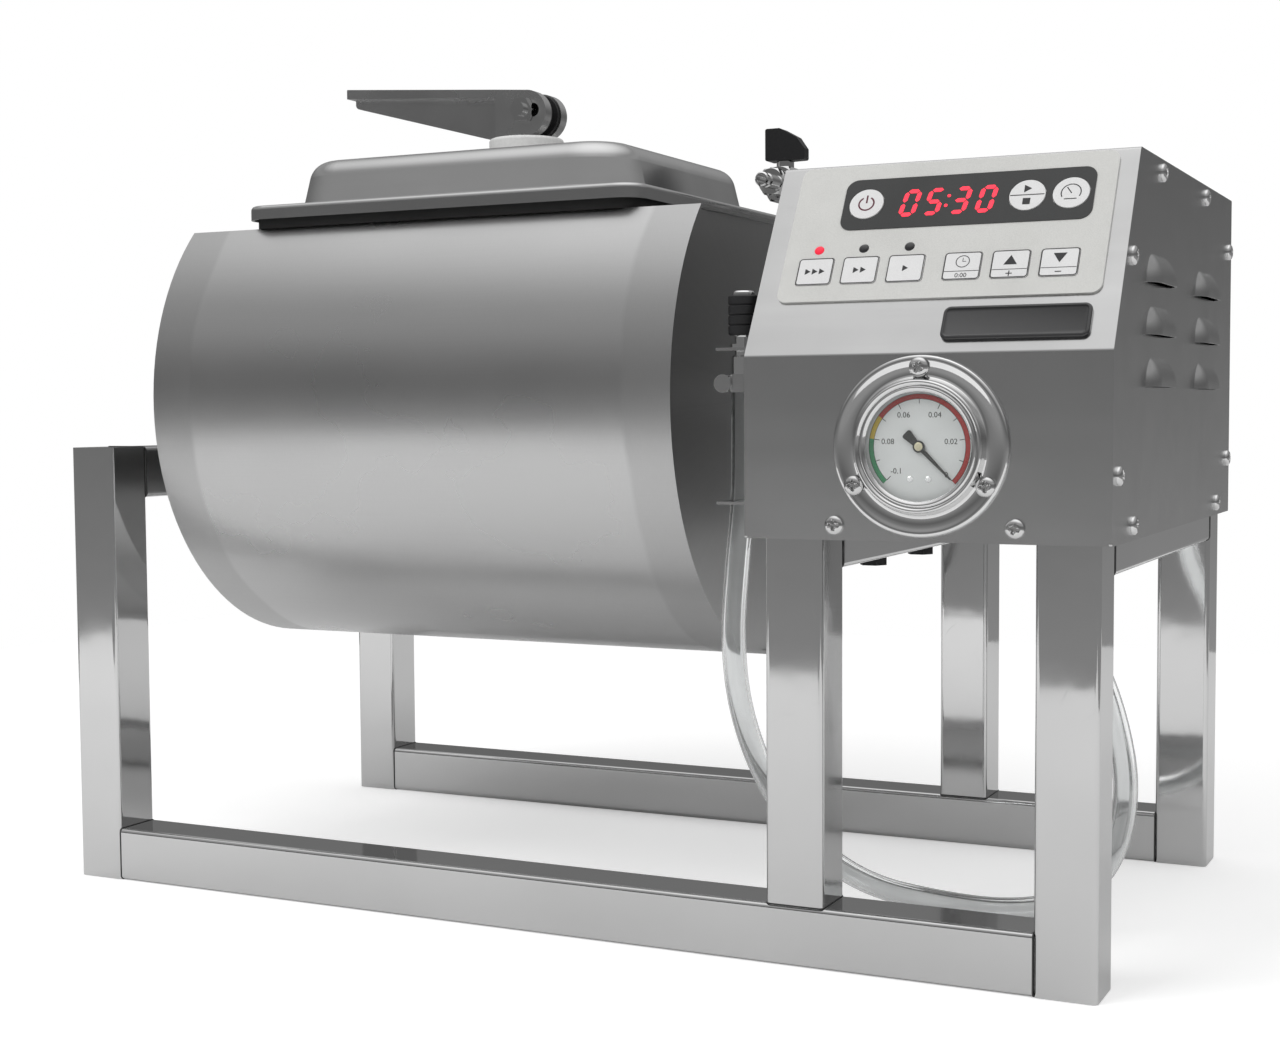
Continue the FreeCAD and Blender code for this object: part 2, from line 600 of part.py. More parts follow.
# ------------------------------------------------------------------------------ bearings
def pillow_block(bearing_x):
    """A pillow block housing: a foot with rounded ends, an arch and a bore."""
    x0 = bearing_x - BEARING_WIDTH / 2
    foot_z = DRUM_AXIS_Z - BEARING_HEIGHT
    axis = Vector(x0, AXIS_Y, DRUM_AXIS_Z)
    foot = plate(Vector(bearing_x, AXIS_Y, foot_z), BEARING_WIDTH, BEARING_LENGTH, BEARING_WIDTH / 3,
                 BEARING_FOOT)
    arch = rod(axis, X_AXIS, BEARING_RADIUS, BEARING_WIDTH)
    arch = arch.cut(block(x0, x0 + BEARING_WIDTH, 0, FRAME_DEPTH, 0, foot_z))
    neck = block(x0, x0 + BEARING_WIDTH, AXIS_Y - BEARING_RADIUS, AXIS_Y + BEARING_RADIUS,
                 foot_z, DRUM_AXIS_Z)
    housing = fuse(foot, arch, neck)
    housing = housing.cut(rod(axis, X_AXIS, INSERT_RADIUS + WELD_GAP, BEARING_WIDTH))
    for place in bearing_bolt_places(bearing_x):
        housing = housing.cut(rod(place, Z_AXIS, BOLT_RADIUS + BOLT_CLEARANCE, DRUM_AXIS_Z))
    return housing


def bearing_bolt(place, under_z, foot_top):
    """A bolt from below: hexagon head, shank, and the nut on the pillow block's foot."""
    head = hexagon(place + Vector(0, 0, under_z - BOLT_HEAD_HEIGHT), Z_AXIS, BOLT_HEAD_FLATS,
                   BOLT_HEAD_HEIGHT)
    nut = hexagon(place + Vector(0, 0, foot_top), Z_AXIS, BOLT_HEAD_FLATS, BOLT_HEAD_HEIGHT)
    length = foot_top + BOLT_HEAD_HEIGHT + BOLT_TAIL - under_z
    shank = rod(place + Vector(0, 0, under_z), Z_AXIS, BOLT_RADIUS, length)
    return fuse(head, shank, nut)


def make_bearings():
    """Two pillow blocks with their inserts and bolts, and the riser under the right one."""
    centres = (TUBE / 2, RIGHT_BEARING_X)
    housings = [pillow_block(x) for x in centres]
    inserts = [ring(Vector(x - BEARING_WIDTH / 2, AXIS_Y, DRUM_AXIS_Z), X_AXIS, INSERT_RADIUS,
                    SHAFT_RADIUS + RUNNING_GAP, BEARING_WIDTH) for x in centres]
    foot_z = DRUM_AXIS_Z - BEARING_HEIGHT
    foot_top = foot_z + BEARING_FOOT
    undersides = (LEFT_POST_Z - TUBE, BOX_SEAT_Z - TUBE)
    bolts = [bearing_bolt(place, under_z, foot_top)
             for x, under_z in zip(centres, undersides) for place in bearing_bolt_places(x)]
    half = BEARING_LENGTH / 2
    riser = block(MIDDLE_X0, MIDDLE_X1, AXIS_Y - half, AXIS_Y + half, FLOOR_Z, foot_z)
    wall = 2 * SHEET
    hollow = block(MIDDLE_X0 + wall, MIDDLE_X1 - wall, AXIS_Y - half, AXIS_Y + half,
                   FLOOR_Z + wall, foot_z - wall)
    riser = riser.cut(hollow)
    for place in bearing_bolt_places(RIGHT_BEARING_X):
        riser = riser.cut(rod(place, Z_AXIS, BOLT_RADIUS + BOLT_CLEARANCE, foot_z))
    return {"bearing_housings": housings, "bearing_inserts": inserts, "bearing_bolts": bolts,
            "bearing_riser": [riser]}


# ---------------------------------------------------------------------------------- drum
def drum_section(x, radius, flat):
    """The drum's cross section at x: a circle cut off level at a height above the axis."""
    half = math.sqrt(radius ** 2 - flat ** 2)
    start = Vector(x, AXIS_Y + half, DRUM_AXIS_Z + flat)
    end = Vector(x, AXIS_Y - half, DRUM_AXIS_Z + flat)
    arc = Part.Arc(start, Vector(x, AXIS_Y, DRUM_AXIS_Z - radius), end).toShape()
    chord = Part.LineSegment(end, start).toShape()
    return Part.Face(Part.Wire([arc, chord]))


def drum_prism(x, length, inset):
    """A length of the drum's form, moved in by an inset from its outside."""
    section = drum_section(x, DRUM_RADIUS - inset, FLAT_HEIGHT - inset)
    return section.extrude(Vector(length, 0, 0))


def baffle(angle):
    """A folded V-shaped paddle that stands on the inside of the shell at an angle."""
    seat = math.sqrt((DRUM_RADIUS - DRUM_WALL - WELD_GAP) ** 2 - (BAFFLE_BASE / 2) ** 2)
    x0 = DRUM_X0 + END_INSET + END_THICKNESS + BAFFLE_END_GAP
    length = DRUM_LENGTH - 2 * (END_INSET + END_THICKNESS + BAFFLE_END_GAP)
    half = BAFFLE_BASE / 2
    slant = BAFFLE_SHEET * math.hypot(half, BAFFLE_HEIGHT) / BAFFLE_HEIGHT
    ridge = BAFFLE_SHEET * math.hypot(half, BAFFLE_HEIGHT) / half
    outline = ((-half, seat), (0, seat - BAFFLE_HEIGHT), (half, seat),
               (half - slant, seat), (0, seat - BAFFLE_HEIGHT + ridge), (slant - half, seat))
    axis = Vector(x0, AXIS_Y, DRUM_AXIS_Z)
    points = [axis + Vector(0, across, out) for across, out in outline]
    paddle = prism(points, [0, BAFFLE_SHEET * 2, 0, 0, BAFFLE_SHEET, 0], Vector(length, 0, 0))
    paddle.rotate(axis, X_AXIS, angle)
    return paddle


def drum_shaft(plate_face, outwards, end):
    """A hub disc welded to an end plate, with a stub shaft that reaches to an end."""
    direction = Vector(outwards, 0, 0)
    start = Vector(plate_face, AXIS_Y, DRUM_AXIS_Z)
    disc = rod(start, direction, HUB_RADIUS, HUB_THICKNESS)
    shaft = rod(start, direction, SHAFT_RADIUS, abs(end - plate_face))
    return fuse(disc, shaft)


def make_drum():
    """The rolled shell with its mouth, the end plates, the baffles and the shafts."""
    shell = drum_prism(DRUM_X0, DRUM_LENGTH, 0).cut(drum_prism(DRUM_X0, DRUM_LENGTH, DRUM_WALL))
    mouth_place = Vector(LID_X, AXIS_Y, FLAT_Z - 2 * DRUM_WALL)
    shell = shell.cut(plate(mouth_place, MOUTH_LENGTH, MOUTH_WIDTH, MOUTH_CORNER, 3 * DRUM_WALL))
    left_face = DRUM_X0 + END_INSET
    right_face = DRUM_X1 - END_INSET
    ends = [drum_prism(x, END_THICKNESS, DRUM_WALL + WELD_GAP)
            for x in (left_face, right_face - END_THICKNESS)]
    left_end = TUBE / 2 - BEARING_WIDTH / 2
    shafts = [drum_shaft(left_face, -1, left_end),
              drum_shaft(right_face, 1, GEARBOX_X1 + GEARBOX_BOSS + SHAFT_END)]
    return {"drum_shell": [shell], "drum_ends": ends,
            "drum_baffles": [baffle(angle) for angle in BAFFLE_ANGLES], "drum_shafts": shafts}


# ----------------------------------------------------------------------------------- lid
def dome(length, width, base_z, height, corner, draft):
    """A pressed dome as a solid: a rounded rectangle that leans in towards its top."""
    low = plate_outline(Vector(LID_X, AXIS_Y, base_z), length, width, corner)
    high = plate_outline(Vector(LID_X, AXIS_Y, base_z + height), length - 2 * draft,
                         width - 2 * draft, corner - draft)
    return Part.makeLoft([low, high], True, True)


def edges_at(shape, z):
    """The edges of a shape that lie wholly at one height."""
    return [edge for edge in shape.Edges
            if abs(edge.BoundBox.ZMin - z) < 0.01 and abs(edge.BoundBox.ZMax - z) < 0.01]


def make_lid():
    """The pressed lid, a flange with a turned-down rim under a dome, and its gasket."""
    flange = plate(Vector(LID_X, AXIS_Y, RIM_Z), LID_LENGTH, LID_WIDTH, LID_CORNER, LID_RIM)
    flange = flange.makeFillet(LID_RIM_ROUND, edges_at(flange, RIM_TOP))
    outer_dome = dome(DOME_LENGTH, DOME_WIDTH, RIM_TOP - LID_SHEET, DOME_HEIGHT + LID_SHEET,
                      DOME_CORNER, DOME_DRAFT)
    outer_dome = outer_dome.makeFillet(DOME_ROUND, edges_at(outer_dome, LID_TOP))
    pan = flange.fuse(outer_dome)
    pan = pan.makeFillet(DOME_FOOT_ROUND, [
        edge for edge in edges_at(pan, RIM_TOP)
        if edge.BoundBox.XMin > LID_X - LID_LENGTH / 2 + LID_CORNER
        and edge.BoundBox.XMax < LID_X + LID_LENGTH / 2 - LID_CORNER])
    pocket = plate(Vector(LID_X, AXIS_Y, RIM_Z), LID_LENGTH - 2 * LID_SHEET, LID_WIDTH - 2 * LID_SHEET,
                   LID_CORNER - LID_SHEET, LID_RIM - LID_SHEET)
    inner_dome = dome(DOME_LENGTH - 2 * LID_SHEET, DOME_WIDTH - 2 * LID_SHEET,
                      RIM_TOP - 2 * LID_SHEET, DOME_HEIGHT + LID_SHEET, DOME_CORNER - LID_SHEET,
                      DOME_DRAFT)
    inner_dome = inner_dome.makeFillet(DOME_ROUND - LID_SHEET, edges_at(inner_dome, LID_TOP - LID_SHEET))
    lid = pan.cut(pocket).cut(inner_dome)
    stem_axis = Vector(LID_X, AXIS_Y, RIM_Z)
    lid = lid.cut(rod(stem_axis, Z_AXIS, STEM_RADIUS + RUNNING_GAP, LID_RIM + DOME_HEIGHT))
    gasket_height = GASKET_SHOW + LID_RIM - LID_SHEET
    seat = Vector(LID_X, AXIS_Y, FLAT_Z)
    gasket = plate(seat, GASKET_LENGTH, GASKET_WIDTH, LID_CORNER - LID_SHEET, gasket_height)
    gasket = gasket.cut(plate(seat, MOUTH_LENGTH + 2 * GASKET_MARGIN, MOUTH_WIDTH + 2 * GASKET_MARGIN,
                              MOUTH_CORNER + GASKET_MARGIN, gasket_height))
    return {"lid": [lid], "lid_gasket": [gasket]}


# ----------------------------------------------------------------------------- cam clamp
def lever_arm():
    """The lever's arm: a tapered flange along the top with a narrower web under it."""
    tip_x = PIVOT_X - LEVER_LENGTH
    tip_z = PIVOT_Z + LEVER_RISE
    cheek_x = PIVOT_X - CHEEK_BACK
    root_z = CAM_Z + CAM_RADIUS
    half = CHEEK_WIDTH / 2
    to_front = Vector(0, -half, 0)
    flange_side = [Vector(tip_x, AXIS_Y, tip_z), Vector(CAM_X, AXIS_Y, root_z),
                   Vector(CAM_X, AXIS_Y, root_z - LEVER_ROOT), Vector(tip_x, AXIS_Y, tip_z - LEVER_TIP)]
    flange = prism([point + to_front for point in flange_side], [LEVER_ROUND, 0, 0, LEVER_ROUND],
                   Vector(0, CHEEK_WIDTH, 0))
    tip_half = LEVER_TIP_WIDTH / 2
    plan = [Vector(tip_x, AXIS_Y - tip_half, 0), Vector(cheek_x, AXIS_Y - half, 0),
            Vector(CAM_X, AXIS_Y - half, 0), Vector(CAM_X, AXIS_Y + half, 0),
            Vector(cheek_x, AXIS_Y + half, 0), Vector(tip_x, AXIS_Y + tip_half, 0)]
    flange = flange.common(prism(plan, [2 * LEVER_ROUND, 0, 0, 0, 0, 2 * LEVER_ROUND],
                                 Vector(0, 0, 2 * PIVOT_Z)))
    web_x = tip_x + LEVER_WEB_START
    low_z = CAM_Z - CAM_RADIUS + LEVER_ROUND
    web_side = [Vector(web_x, AXIS_Y, tip_z - LEVER_TIP / 2), Vector(CAM_X, AXIS_Y, root_z - LEVER_ROOT / 2),
                Vector(CAM_X, AXIS_Y, low_z), Vector(cheek_x - LEVER_WEB_RUN, AXIS_Y, low_z),
                Vector(web_x, AXIS_Y, tip_z - LEVER_WEB_DEPTH)]
    web = prism([point - Vector(0, LEVER_WEB / 2, 0) for point in web_side], [0, 0, 0, LEVER_ROUND, 2 * LEVER_ROUND],
                Vector(0, LEVER_WEB, 0))
    return fuse(flange, web)


def make_lever():
    """The cast cam lever: an arm and two eccentric cheeks with square backs."""
    half = CHEEK_WIDTH / 2
    front = AXIS_Y - half
    cheek_x = PIVOT_X - CHEEK_BACK
    back = block(cheek_x, CAM_X, front, AXIS_Y + half, CAM_Z - CAM_RADIUS, PIVOT_Z + LEVER_RISE)
    tip_x = PIVOT_X - LEVER_LENGTH
    under_top = [Vector(tip_x, front, PIVOT_Z + LEVER_RISE), Vector(CAM_X, front, CAM_Z + CAM_RADIUS),
                 Vector(CAM_X, front, 0), Vector(tip_x, front, 0)]
    back = back.common(prism(under_top, [0] * 4, Vector(0, CHEEK_WIDTH, 0)))
    cam = rod(Vector(CAM_X, front, CAM_Z), Y_AXIS, CAM_RADIUS, CHEEK_WIDTH)
    lever = fuse(lever_arm(), back, cam)
    slot_half = half - CHEEK_THICKNESS
    slot_x = PIVOT_X - EYE_RADIUS - EYE_EASE
    slot = block(slot_x, CAM_X + 2 * CAM_RADIUS, AXIS_Y - slot_half, AXIS_Y + slot_half,
                 CAM_Z - 2 * CAM_RADIUS, CAM_Z + 2 * CAM_RADIUS)
    lever = lever.cut(slot)
    hole = PIVOT_RADIUS + RUNNING_GAP
    pivot = Vector(PIVOT_X, front, PIVOT_Z)
    far = rod(pivot + X_AXIS * PIVOT_SLOT, Y_AXIS, hole, CHEEK_WIDTH)
    between = block(PIVOT_X, PIVOT_X + PIVOT_SLOT, front, AXIS_Y + half, PIVOT_Z - hole, PIVOT_Z + hole)
    return lever.cut(fuse(rod(pivot, Y_AXIS, hole, CHEEK_WIDTH), between, far))


def make_clamp():
    """The clamp under the lever: stem with its eye, locking bar, pad, spacers and pivot bolt."""
    axis = Vector(LID_X, AXIS_Y, 0)
    bar_low = BAR_TOP - BAR_TOE_HEIGHT - BAR_THICKNESS
    bar = plate(axis + Vector(0, 0, bar_low), BAR_LENGTH, BAR_WIDTH, BAR_WIDTH / 4, BAR_THICKNESS)
    for side in (-1, 1):
        toe_x = LID_X + side * (BAR_LENGTH - BAR_TOE_LENGTH) / 2
        toe = plate(Vector(toe_x, AXIS_Y, bar_low + BAR_THICKNESS), BAR_TOE_LENGTH, BAR_WIDTH,
                    BAR_WIDTH / 4, BAR_TOE_HEIGHT)
        bar = fuse(bar, toe)
    bar = bar.cut(rod(axis, Z_AXIS, STEM_RADIUS + RUNNING_GAP, FLAT_Z))

    pin = Vector(PIVOT_X, AXIS_Y, PIVOT_Z)
    stem = rod(axis + Vector(0, 0, bar_low - BOLT_TAIL), Z_AXIS, STEM_RADIUS, PIVOT_Z - bar_low + BOLT_TAIL)
    nut = hexagon(axis + Vector(0, 0, bar_low - BOLT_HEAD_HEIGHT), Z_AXIS, 2.6 * STEM_RADIUS,
                  BOLT_HEAD_HEIGHT)
    collar_top = CAM_Z - CAM_RADIUS
    neck = stem.common(block(0, FRAME_LENGTH, 0, FRAME_DEPTH, 0, collar_top))
    blade = block(LID_X - STEM_RADIUS, LID_X + STEM_RADIUS, AXIS_Y - EYE_WIDTH / 2, AXIS_Y + EYE_WIDTH / 2,
                  collar_top - PAD_HEIGHT / 2, PIVOT_Z)
    eye = rod(pin - Vector(0, EYE_WIDTH / 2, 0), Y_AXIS, EYE_RADIUS, EYE_WIDTH)
    stem = fuse(neck, nut, blade.common(rod(axis, Z_AXIS, STEM_RADIUS, 2 * PIVOT_Z)), eye)
    stem = stem.cut(rod(pin - Y_AXIS * EYE_WIDTH, Y_AXIS, PIVOT_RADIUS + RUNNING_GAP, 2 * EYE_WIDTH))

    pad = rod(Vector(LID_X, AXIS_Y, LID_TOP + SIDE_GAP / 2), Z_AXIS, PAD_RADIUS, PAD_HEIGHT - SIDE_GAP / 2)
    pad = pad.makeFillet(PAD_ROUND, edges_at(pad, PAD_TOP))
    pad = pad.cut(rod(axis, Z_AXIS, STEM_RADIUS + WELD_GAP, 2 * PIVOT_Z))

    spacers = []
    spacer_width = CHEEK_WIDTH / 2 - CHEEK_THICKNESS - EYE_WIDTH / 2 - 2 * SIDE_GAP
    for side in (-1, 1):
        face_y = AXIS_Y + side * (EYE_WIDTH / 2 + SIDE_GAP)
        centre = Vector(CAM_X, face_y, CAM_Z)
        spacer = rod(centre, Vector(0, side, 0), SPACER_RADIUS, spacer_width)
        bolt_way = rod(Vector(PIVOT_X, face_y, PIVOT_Z), Vector(0, side, 0),
                       PIVOT_RADIUS + WELD_GAP, spacer_width)
        spacers.append(spacer.cut(bolt_way))

    outside = CHEEK_WIDTH / 2 + SIDE_GAP
    bolt = rod(pin - Y_AXIS * (outside + BOLT_HEAD_HEIGHT + BOLT_TAIL), Y_AXIS, PIVOT_RADIUS,
               2 * outside + BOLT_HEAD_HEIGHT + BOLT_TAIL)
    nut_place = pin - Y_AXIS * (outside + BOLT_HEAD_HEIGHT)
    bolt_nut = hexagon(nut_place, Y_AXIS, BOLT_HEAD_FLATS, BOLT_HEAD_HEIGHT)
    bolt_head = hexagon(pin + Y_AXIS * outside, Y_AXIS, BOLT_HEAD_FLATS, BOLT_HEAD_HEIGHT)
    return {"clamp_stem": [stem], "clamp_bar": [bar], "pressure_pad": [pad],
            "cam_spacers": spacers, "pivot_bolt": [fuse(bolt, bolt_nut, bolt_head)]}


# ------------------------------------------------------------------------ valve on drum
def bevelled(start, radius, length):
    """A turned envelope along Y whose bevelled ends take the corners off a hexagon."""
    wide = radius / math.cos(math.radians(30))
    outline = ((0, 0), (radius, 0), (wide, VALVE_BEVEL), (wide, length - VALVE_BEVEL), (radius, length),
               (0, length))
    return on_panel(revolve(outline, Vector(0, 0, 0)), start + Y_AXIS * length, 90)


def handle_grip(high_end):
    """The valve's wedge grip: high and wide at one end, low and narrow at the other."""
    knee = HANDLE_LENGTH - HANDLE_KNEE
    side = ((0, 0), (0, HANDLE_HEIGHT), (HANDLE_CREST, HANDLE_HEIGHT), (knee, HANDLE_KNEE_HEIGHT),
            (HANDLE_LENGTH, HANDLE_NOSE_HEIGHT), (HANDLE_LENGTH, 0))
    front = high_end - Y_AXIS * HANDLE_WIDTH / 2
    grip = prism([front + Vector(across, 0, up) for across, up in side],
                 [HANDLE_ROUND, HANDLE_ROUND, HANDLE_ROUND, 0, HANDLE_ROUND, HANDLE_ROUND],
                 Y_AXIS * HANDLE_WIDTH)
    wide, narrow = HANDLE_WIDTH / 2, HANDLE_NOSE_WIDTH / 2
    plan = ((0, -wide), (HANDLE_CREST, -wide), (HANDLE_LENGTH, -narrow), (HANDLE_LENGTH, narrow),
            (HANDLE_CREST, wide), (0, wide))
    return grip.common(prism([high_end + Vector(across, along, 0) for across, along in plan], [0] * 6,
                             Z_AXIS * HANDLE_HEIGHT))


def make_valve():
    """The small ball valve on the drum's flat top, with its plug and its T handle."""
    stem = VALVE_PLACE
    front = stem - Y_AXIS * VALVE_FRONT
    body = rod(front, Y_AXIS, VALVE_BODY_RADIUS, VALVE_FRONT + VALVE_ELBOW)
    ball = hexagon(stem - Y_AXIS * VALVE_BALL_LENGTH / 2, Y_AXIS, 2 * VALVE_BALL_RADIUS, VALVE_BALL_LENGTH)
    ball = ball.common(bevelled(stem - Y_AXIS * VALVE_BALL_LENGTH / 2, VALVE_BALL_RADIUS, VALVE_BALL_LENGTH))
    front_hex = hexagon(front, Y_AXIS, VALVE_FRONT_FLATS, VALVE_FRONT_NUT)
    front_hex = front_hex.common(bevelled(front, VALVE_FRONT_FLATS / 2, VALVE_FRONT_NUT))
    elbow = stem + Y_AXIS * VALVE_ELBOW
    knee = Part.makeSphere(VALVE_ELBOW_RADIUS, elbow)
    drop = rod(Vector(elbow.x, elbow.y, FLAT_Z), Z_AXIS, VALVE_PIPE_RADIUS, VALVE_AXIS_RISE)
    nut = hexagon(Vector(elbow.x, elbow.y, FLAT_Z), Z_AXIS, VALVE_NUT_FLATS, VALVE_NUT_HEIGHT)
    bonnet_top = VALVE_BALL_RADIUS + HANDLE_AIR
    bonnet = rod(stem, Z_AXIS, HANDLE_STEM_RADIUS + 2 * VALVE_BEVEL, bonnet_top)
    valve = fuse(body, ball, front_hex, knee, drop, nut, bonnet)
    handle_way = HANDLE_STEM_RADIUS + RUNNING_GAP
    valve = valve.cut(rod(stem, Z_AXIS, handle_way, 2 * bonnet_top))

    waist = PLUG_RADIUS - PLUG_GROOVE
    plug_outline = ((0, 0), (PLUG_RADIUS, 0), (PLUG_RADIUS, PLUG_PIN), (waist, PLUG_PIN + PLUG_GROOVE),
                    (waist, PLUG_PIN + 3 * PLUG_GROOVE), (PLUG_RADIUS, PLUG_PIN + 4 * PLUG_GROOVE),
                    (PLUG_RADIUS, PLUG_LENGTH - PLUG_GROOVE), (waist, PLUG_LENGTH),
                    (PLUG_BORE, PLUG_LENGTH), (PLUG_BORE, PLUG_LENGTH - PLUG_BORE_DEPTH),
                    (0, PLUG_LENGTH - PLUG_BORE_DEPTH))
    plug = on_panel(revolve(plug_outline, Vector(0, 0, 0)), front, 90)

    handle_low = stem.z + bonnet_top + SIDE_GAP
    grip = handle_grip(Vector(stem.x - HANDLE_BEHIND, stem.y, handle_low))
    spindle = rod(stem + Z_AXIS * SIDE_GAP, Z_AXIS, HANDLE_STEM_RADIUS, handle_low - stem.z)
    return {"valve_body": [valve], "valve_plug": [plug], "valve_handle": [fuse(grip, spindle)]}


# --------------------------------------------------------------------------- control box
def box_outline(inset, skirt_z, back_y):
    """The box's side outline (front, slope, top) moved in by an inset, as (y, z) points."""
    tilt = math.radians(SLOPE_TILT)
    at_fold = inset * math.tan(tilt / 2 - math.pi / 4)
    at_top = inset * math.tan(tilt / 2)
    return [(BOX_Y0 + inset, skirt_z), (BOX_Y0 + inset, FOLD_Z + at_fold),
            (SLOPE_TOP_Y + at_top, BOX_TOP - inset), (back_y, BOX_TOP - inset)]


def side_screw_places():
    """Screw centres on a side panel as (y, z), each set from the edges near it."""
    tilt = math.radians(SLOPE_TILT)
    slope_rise = (BOX_TOP - FOLD_Z) * SLOPE_SCREW_SHARE
    slope_y = BOX_Y0 + slope_rise / math.tan(tilt) + SCREW_INSET / math.sin(tilt)
    top_z = BOX_TOP - SCREW_EDGE
    low_z = BOX_SEAT_Z - SCREW_EDGE
    back_y = BOX_Y1 - SCREW_INSET
    return [(SLOPE_TOP_Y + TOP_SCREW_FRONT, top_z), (BOX_Y1 - TOP_SCREW_BACK, top_z),
            (slope_y, FOLD_Z + slope_rise), (BOX_Y0 + SCREW_INSET, BOX_SEAT_Z + FRONT_SCREW_RISE),
            (back_y, BOX_SEAT_Z + BACK_SCREW_RISE), (back_y, BOX_TOP - BACK_SCREW_DROP),
            (TUBE + POST_SCREW_FRONT, low_z), (FRAME_DEPTH - TUBE - POST_SCREW_BACK, low_z)]


def front_screw_places():
    """Screw centres on the front of the box as (x, z), between the posts."""
    low_z = BOX_SEAT_Z - SCREW_EDGE
    return [(MIDDLE_X1 + SCREW_EDGE, low_z), (RIGHT_X0 - SCREW_EDGE - FRONT_SCREW_EXTRA, low_z)]


def back_screw_places():
    """Screw centres on the back panel as (x, z)."""
    low_z = BOX_SEAT_Z - SCREW_EDGE
    top_z = BOX_TOP - SHEET - SCREW_EDGE
    return [(MIDDLE_X1 + SCREW_EDGE, low_z), (RIGHT_X0 - SCREW_EDGE, low_z),
            (BOX_X0 + FLANGE + FLANGE_EASE + SCREW_EDGE, top_z),
            (BOX_X1 - FLANGE - FLANGE_EASE - SCREW_EDGE, top_z)]


def screw_way(place, inwards):
    """The clearance hole of a panel screw, from outside the panel inwards."""
    return rod(place - inwards * SCREW_LENGTH, inwards, SCREW_RADIUS + SCREW_CLEARANCE, 3 * SCREW_LENGTH)


def pan_screw(place, inwards):
    """A pan-head screw seated on a panel: domed head and shank."""
    outline = ((0, -SCREW_LENGTH), (SCREW_RADIUS, -SCREW_LENGTH), (SCREW_RADIUS, 0),
               (SCREW_HEAD_RADIUS, 0), (SCREW_HEAD_RADIUS, SCREW_HEAD_HEIGHT * 0.45),
               (SCREW_HEAD_RADIUS * 0.8, SCREW_HEAD_HEIGHT * 0.85),
               (SCREW_HEAD_RADIUS * 0.4, SCREW_HEAD_HEIGHT), (0, SCREW_HEAD_HEIGHT))
    screw = revolve(outline, Vector(0, 0, 0))
    screw.Placement = FreeCAD.Placement(place, FreeCAD.Rotation(Z_AXIS, inwards * -1))
    return screw


def panel_screw_spots():
    """Every panel screw as its seat, its inward direction and the pieces it passes."""
    spots = []
    for y, z in side_screw_places():
        spots.append((Vector(BOX_X0, y, z), X_AXIS, "box_left_panel"))
        spots.append((Vector(BOX_X1, y, z), X_AXIS * -1, "box_right_panel"))
    for x, z in front_screw_places():
        spots.append((Vector(x, BOX_Y0, z), Y_AXIS, "box_wrap"))
    for x, z in back_screw_places():
        spots.append((Vector(x, BOX_Y1, z), Y_AXIS * -1, "box_back_panel"))
    return spots


def gauge_screw_spots():
    """The gauge's three screw seats, at the top and low on both sides."""
    spots = []
    for angle in (90, 210, 330):
        turn = math.radians(angle)
        across = Vector(math.cos(turn), 0, math.sin(turn)) * GAUGE_SCREW_CIRCLE
        spots.append(GAUGE_PLACE + across - Y_AXIS * GAUGE_FLANGE)
    return spots


def make_wrap():
    """Front, slope and top in one folded sheet, with folded edges along both sides."""
    x0, x1 = BOX_X0 + SHEET, BOX_X1 - SHEET
    back_y = BOX_Y1 - SHEET
    outer = [Vector(x0, y, z) for y, z in box_outline(0, SKIRT_Z, back_y)]
    inner = [Vector(x0, y, z) for y, z in box_outline(SHEET, SKIRT_Z, back_y)]
    radii = [0, BEND_RADIUS, BEND_RADIUS, 0, 0, BEND_RADIUS - SHEET, BEND_RADIUS - SHEET, 0]
    wrap = prism(outer + inner[::-1], radii, Vector(x1 - x0, 0, 0))
    edge_z = FLOOR_Z + FLANGE_EASE
    edge_y = back_y - FLANGE - FLANGE_EASE
    rim_out = [Vector(x0, y, z) for y, z in box_outline(SHEET / 2, edge_z, edge_y)]
    rim_in = [Vector(x0, y, z) for y, z in box_outline(FLANGE, edge_z, edge_y)]
    lip = prism(rim_out + rim_in[::-1], [0] * 8, Vector(SHEET, 0, 0))
    wrap = fuse(wrap, lip, lip.translated(Vector(x1 - x0 - SHEET, 0, 0)))
    case_way = rod(Vector(0, 0, -GAUGE_CASE_DEPTH), Z_AXIS, GAUGE_CASE_RADIUS + SIDE_GAP, 2 * GAUGE_CASE_DEPTH)
    wrap = wrap.cut(on_gauge(case_way))
    display = plate(Vector(*DISPLAY_CENTRE, -2 * SHEET), *DISPLAY_SIZE, 1, 4 * SHEET)
    return wrap.cut(on_slope(display))


def make_back_panel():
    """The back panel, with folded edges that the side panels are screwed to."""
    x0, x1 = BOX_X0 + SHEET, BOX_X1 - SHEET
    y1 = BOX_Y1
    y0 = y1 - SHEET
    top = BOX_TOP - SHEET
    panel = block(x0, x1, y0, y1, SKIRT_Z, top)
    edge_low = FLOOR_Z + FLANGE_EASE
    edge_high = top - FLANGE - FLANGE_EASE
    left_edge = block(x0, x0 + SHEET, y0 - FLANGE, y0, edge_low, edge_high)
    right_edge = block(x1 - SHEET, x1, y0 - FLANGE, y0, edge_low, edge_high)
    top_edge = block(x0 + FLANGE, x1 - FLANGE, y0 - FLANGE, y0, top - SHEET, top)
    panel = fuse(panel, left_edge, right_edge, top_edge)
    gland = Vector(BOX_X0 + GLAND_X, y0 - SHEET, BOX_SEAT_Z + GLAND_RISE)
    return panel.cut(rod(gland, Y_AXIS, GLAND_BORE + 2 * WELD_GAP + SHEET, 3 * SHEET))


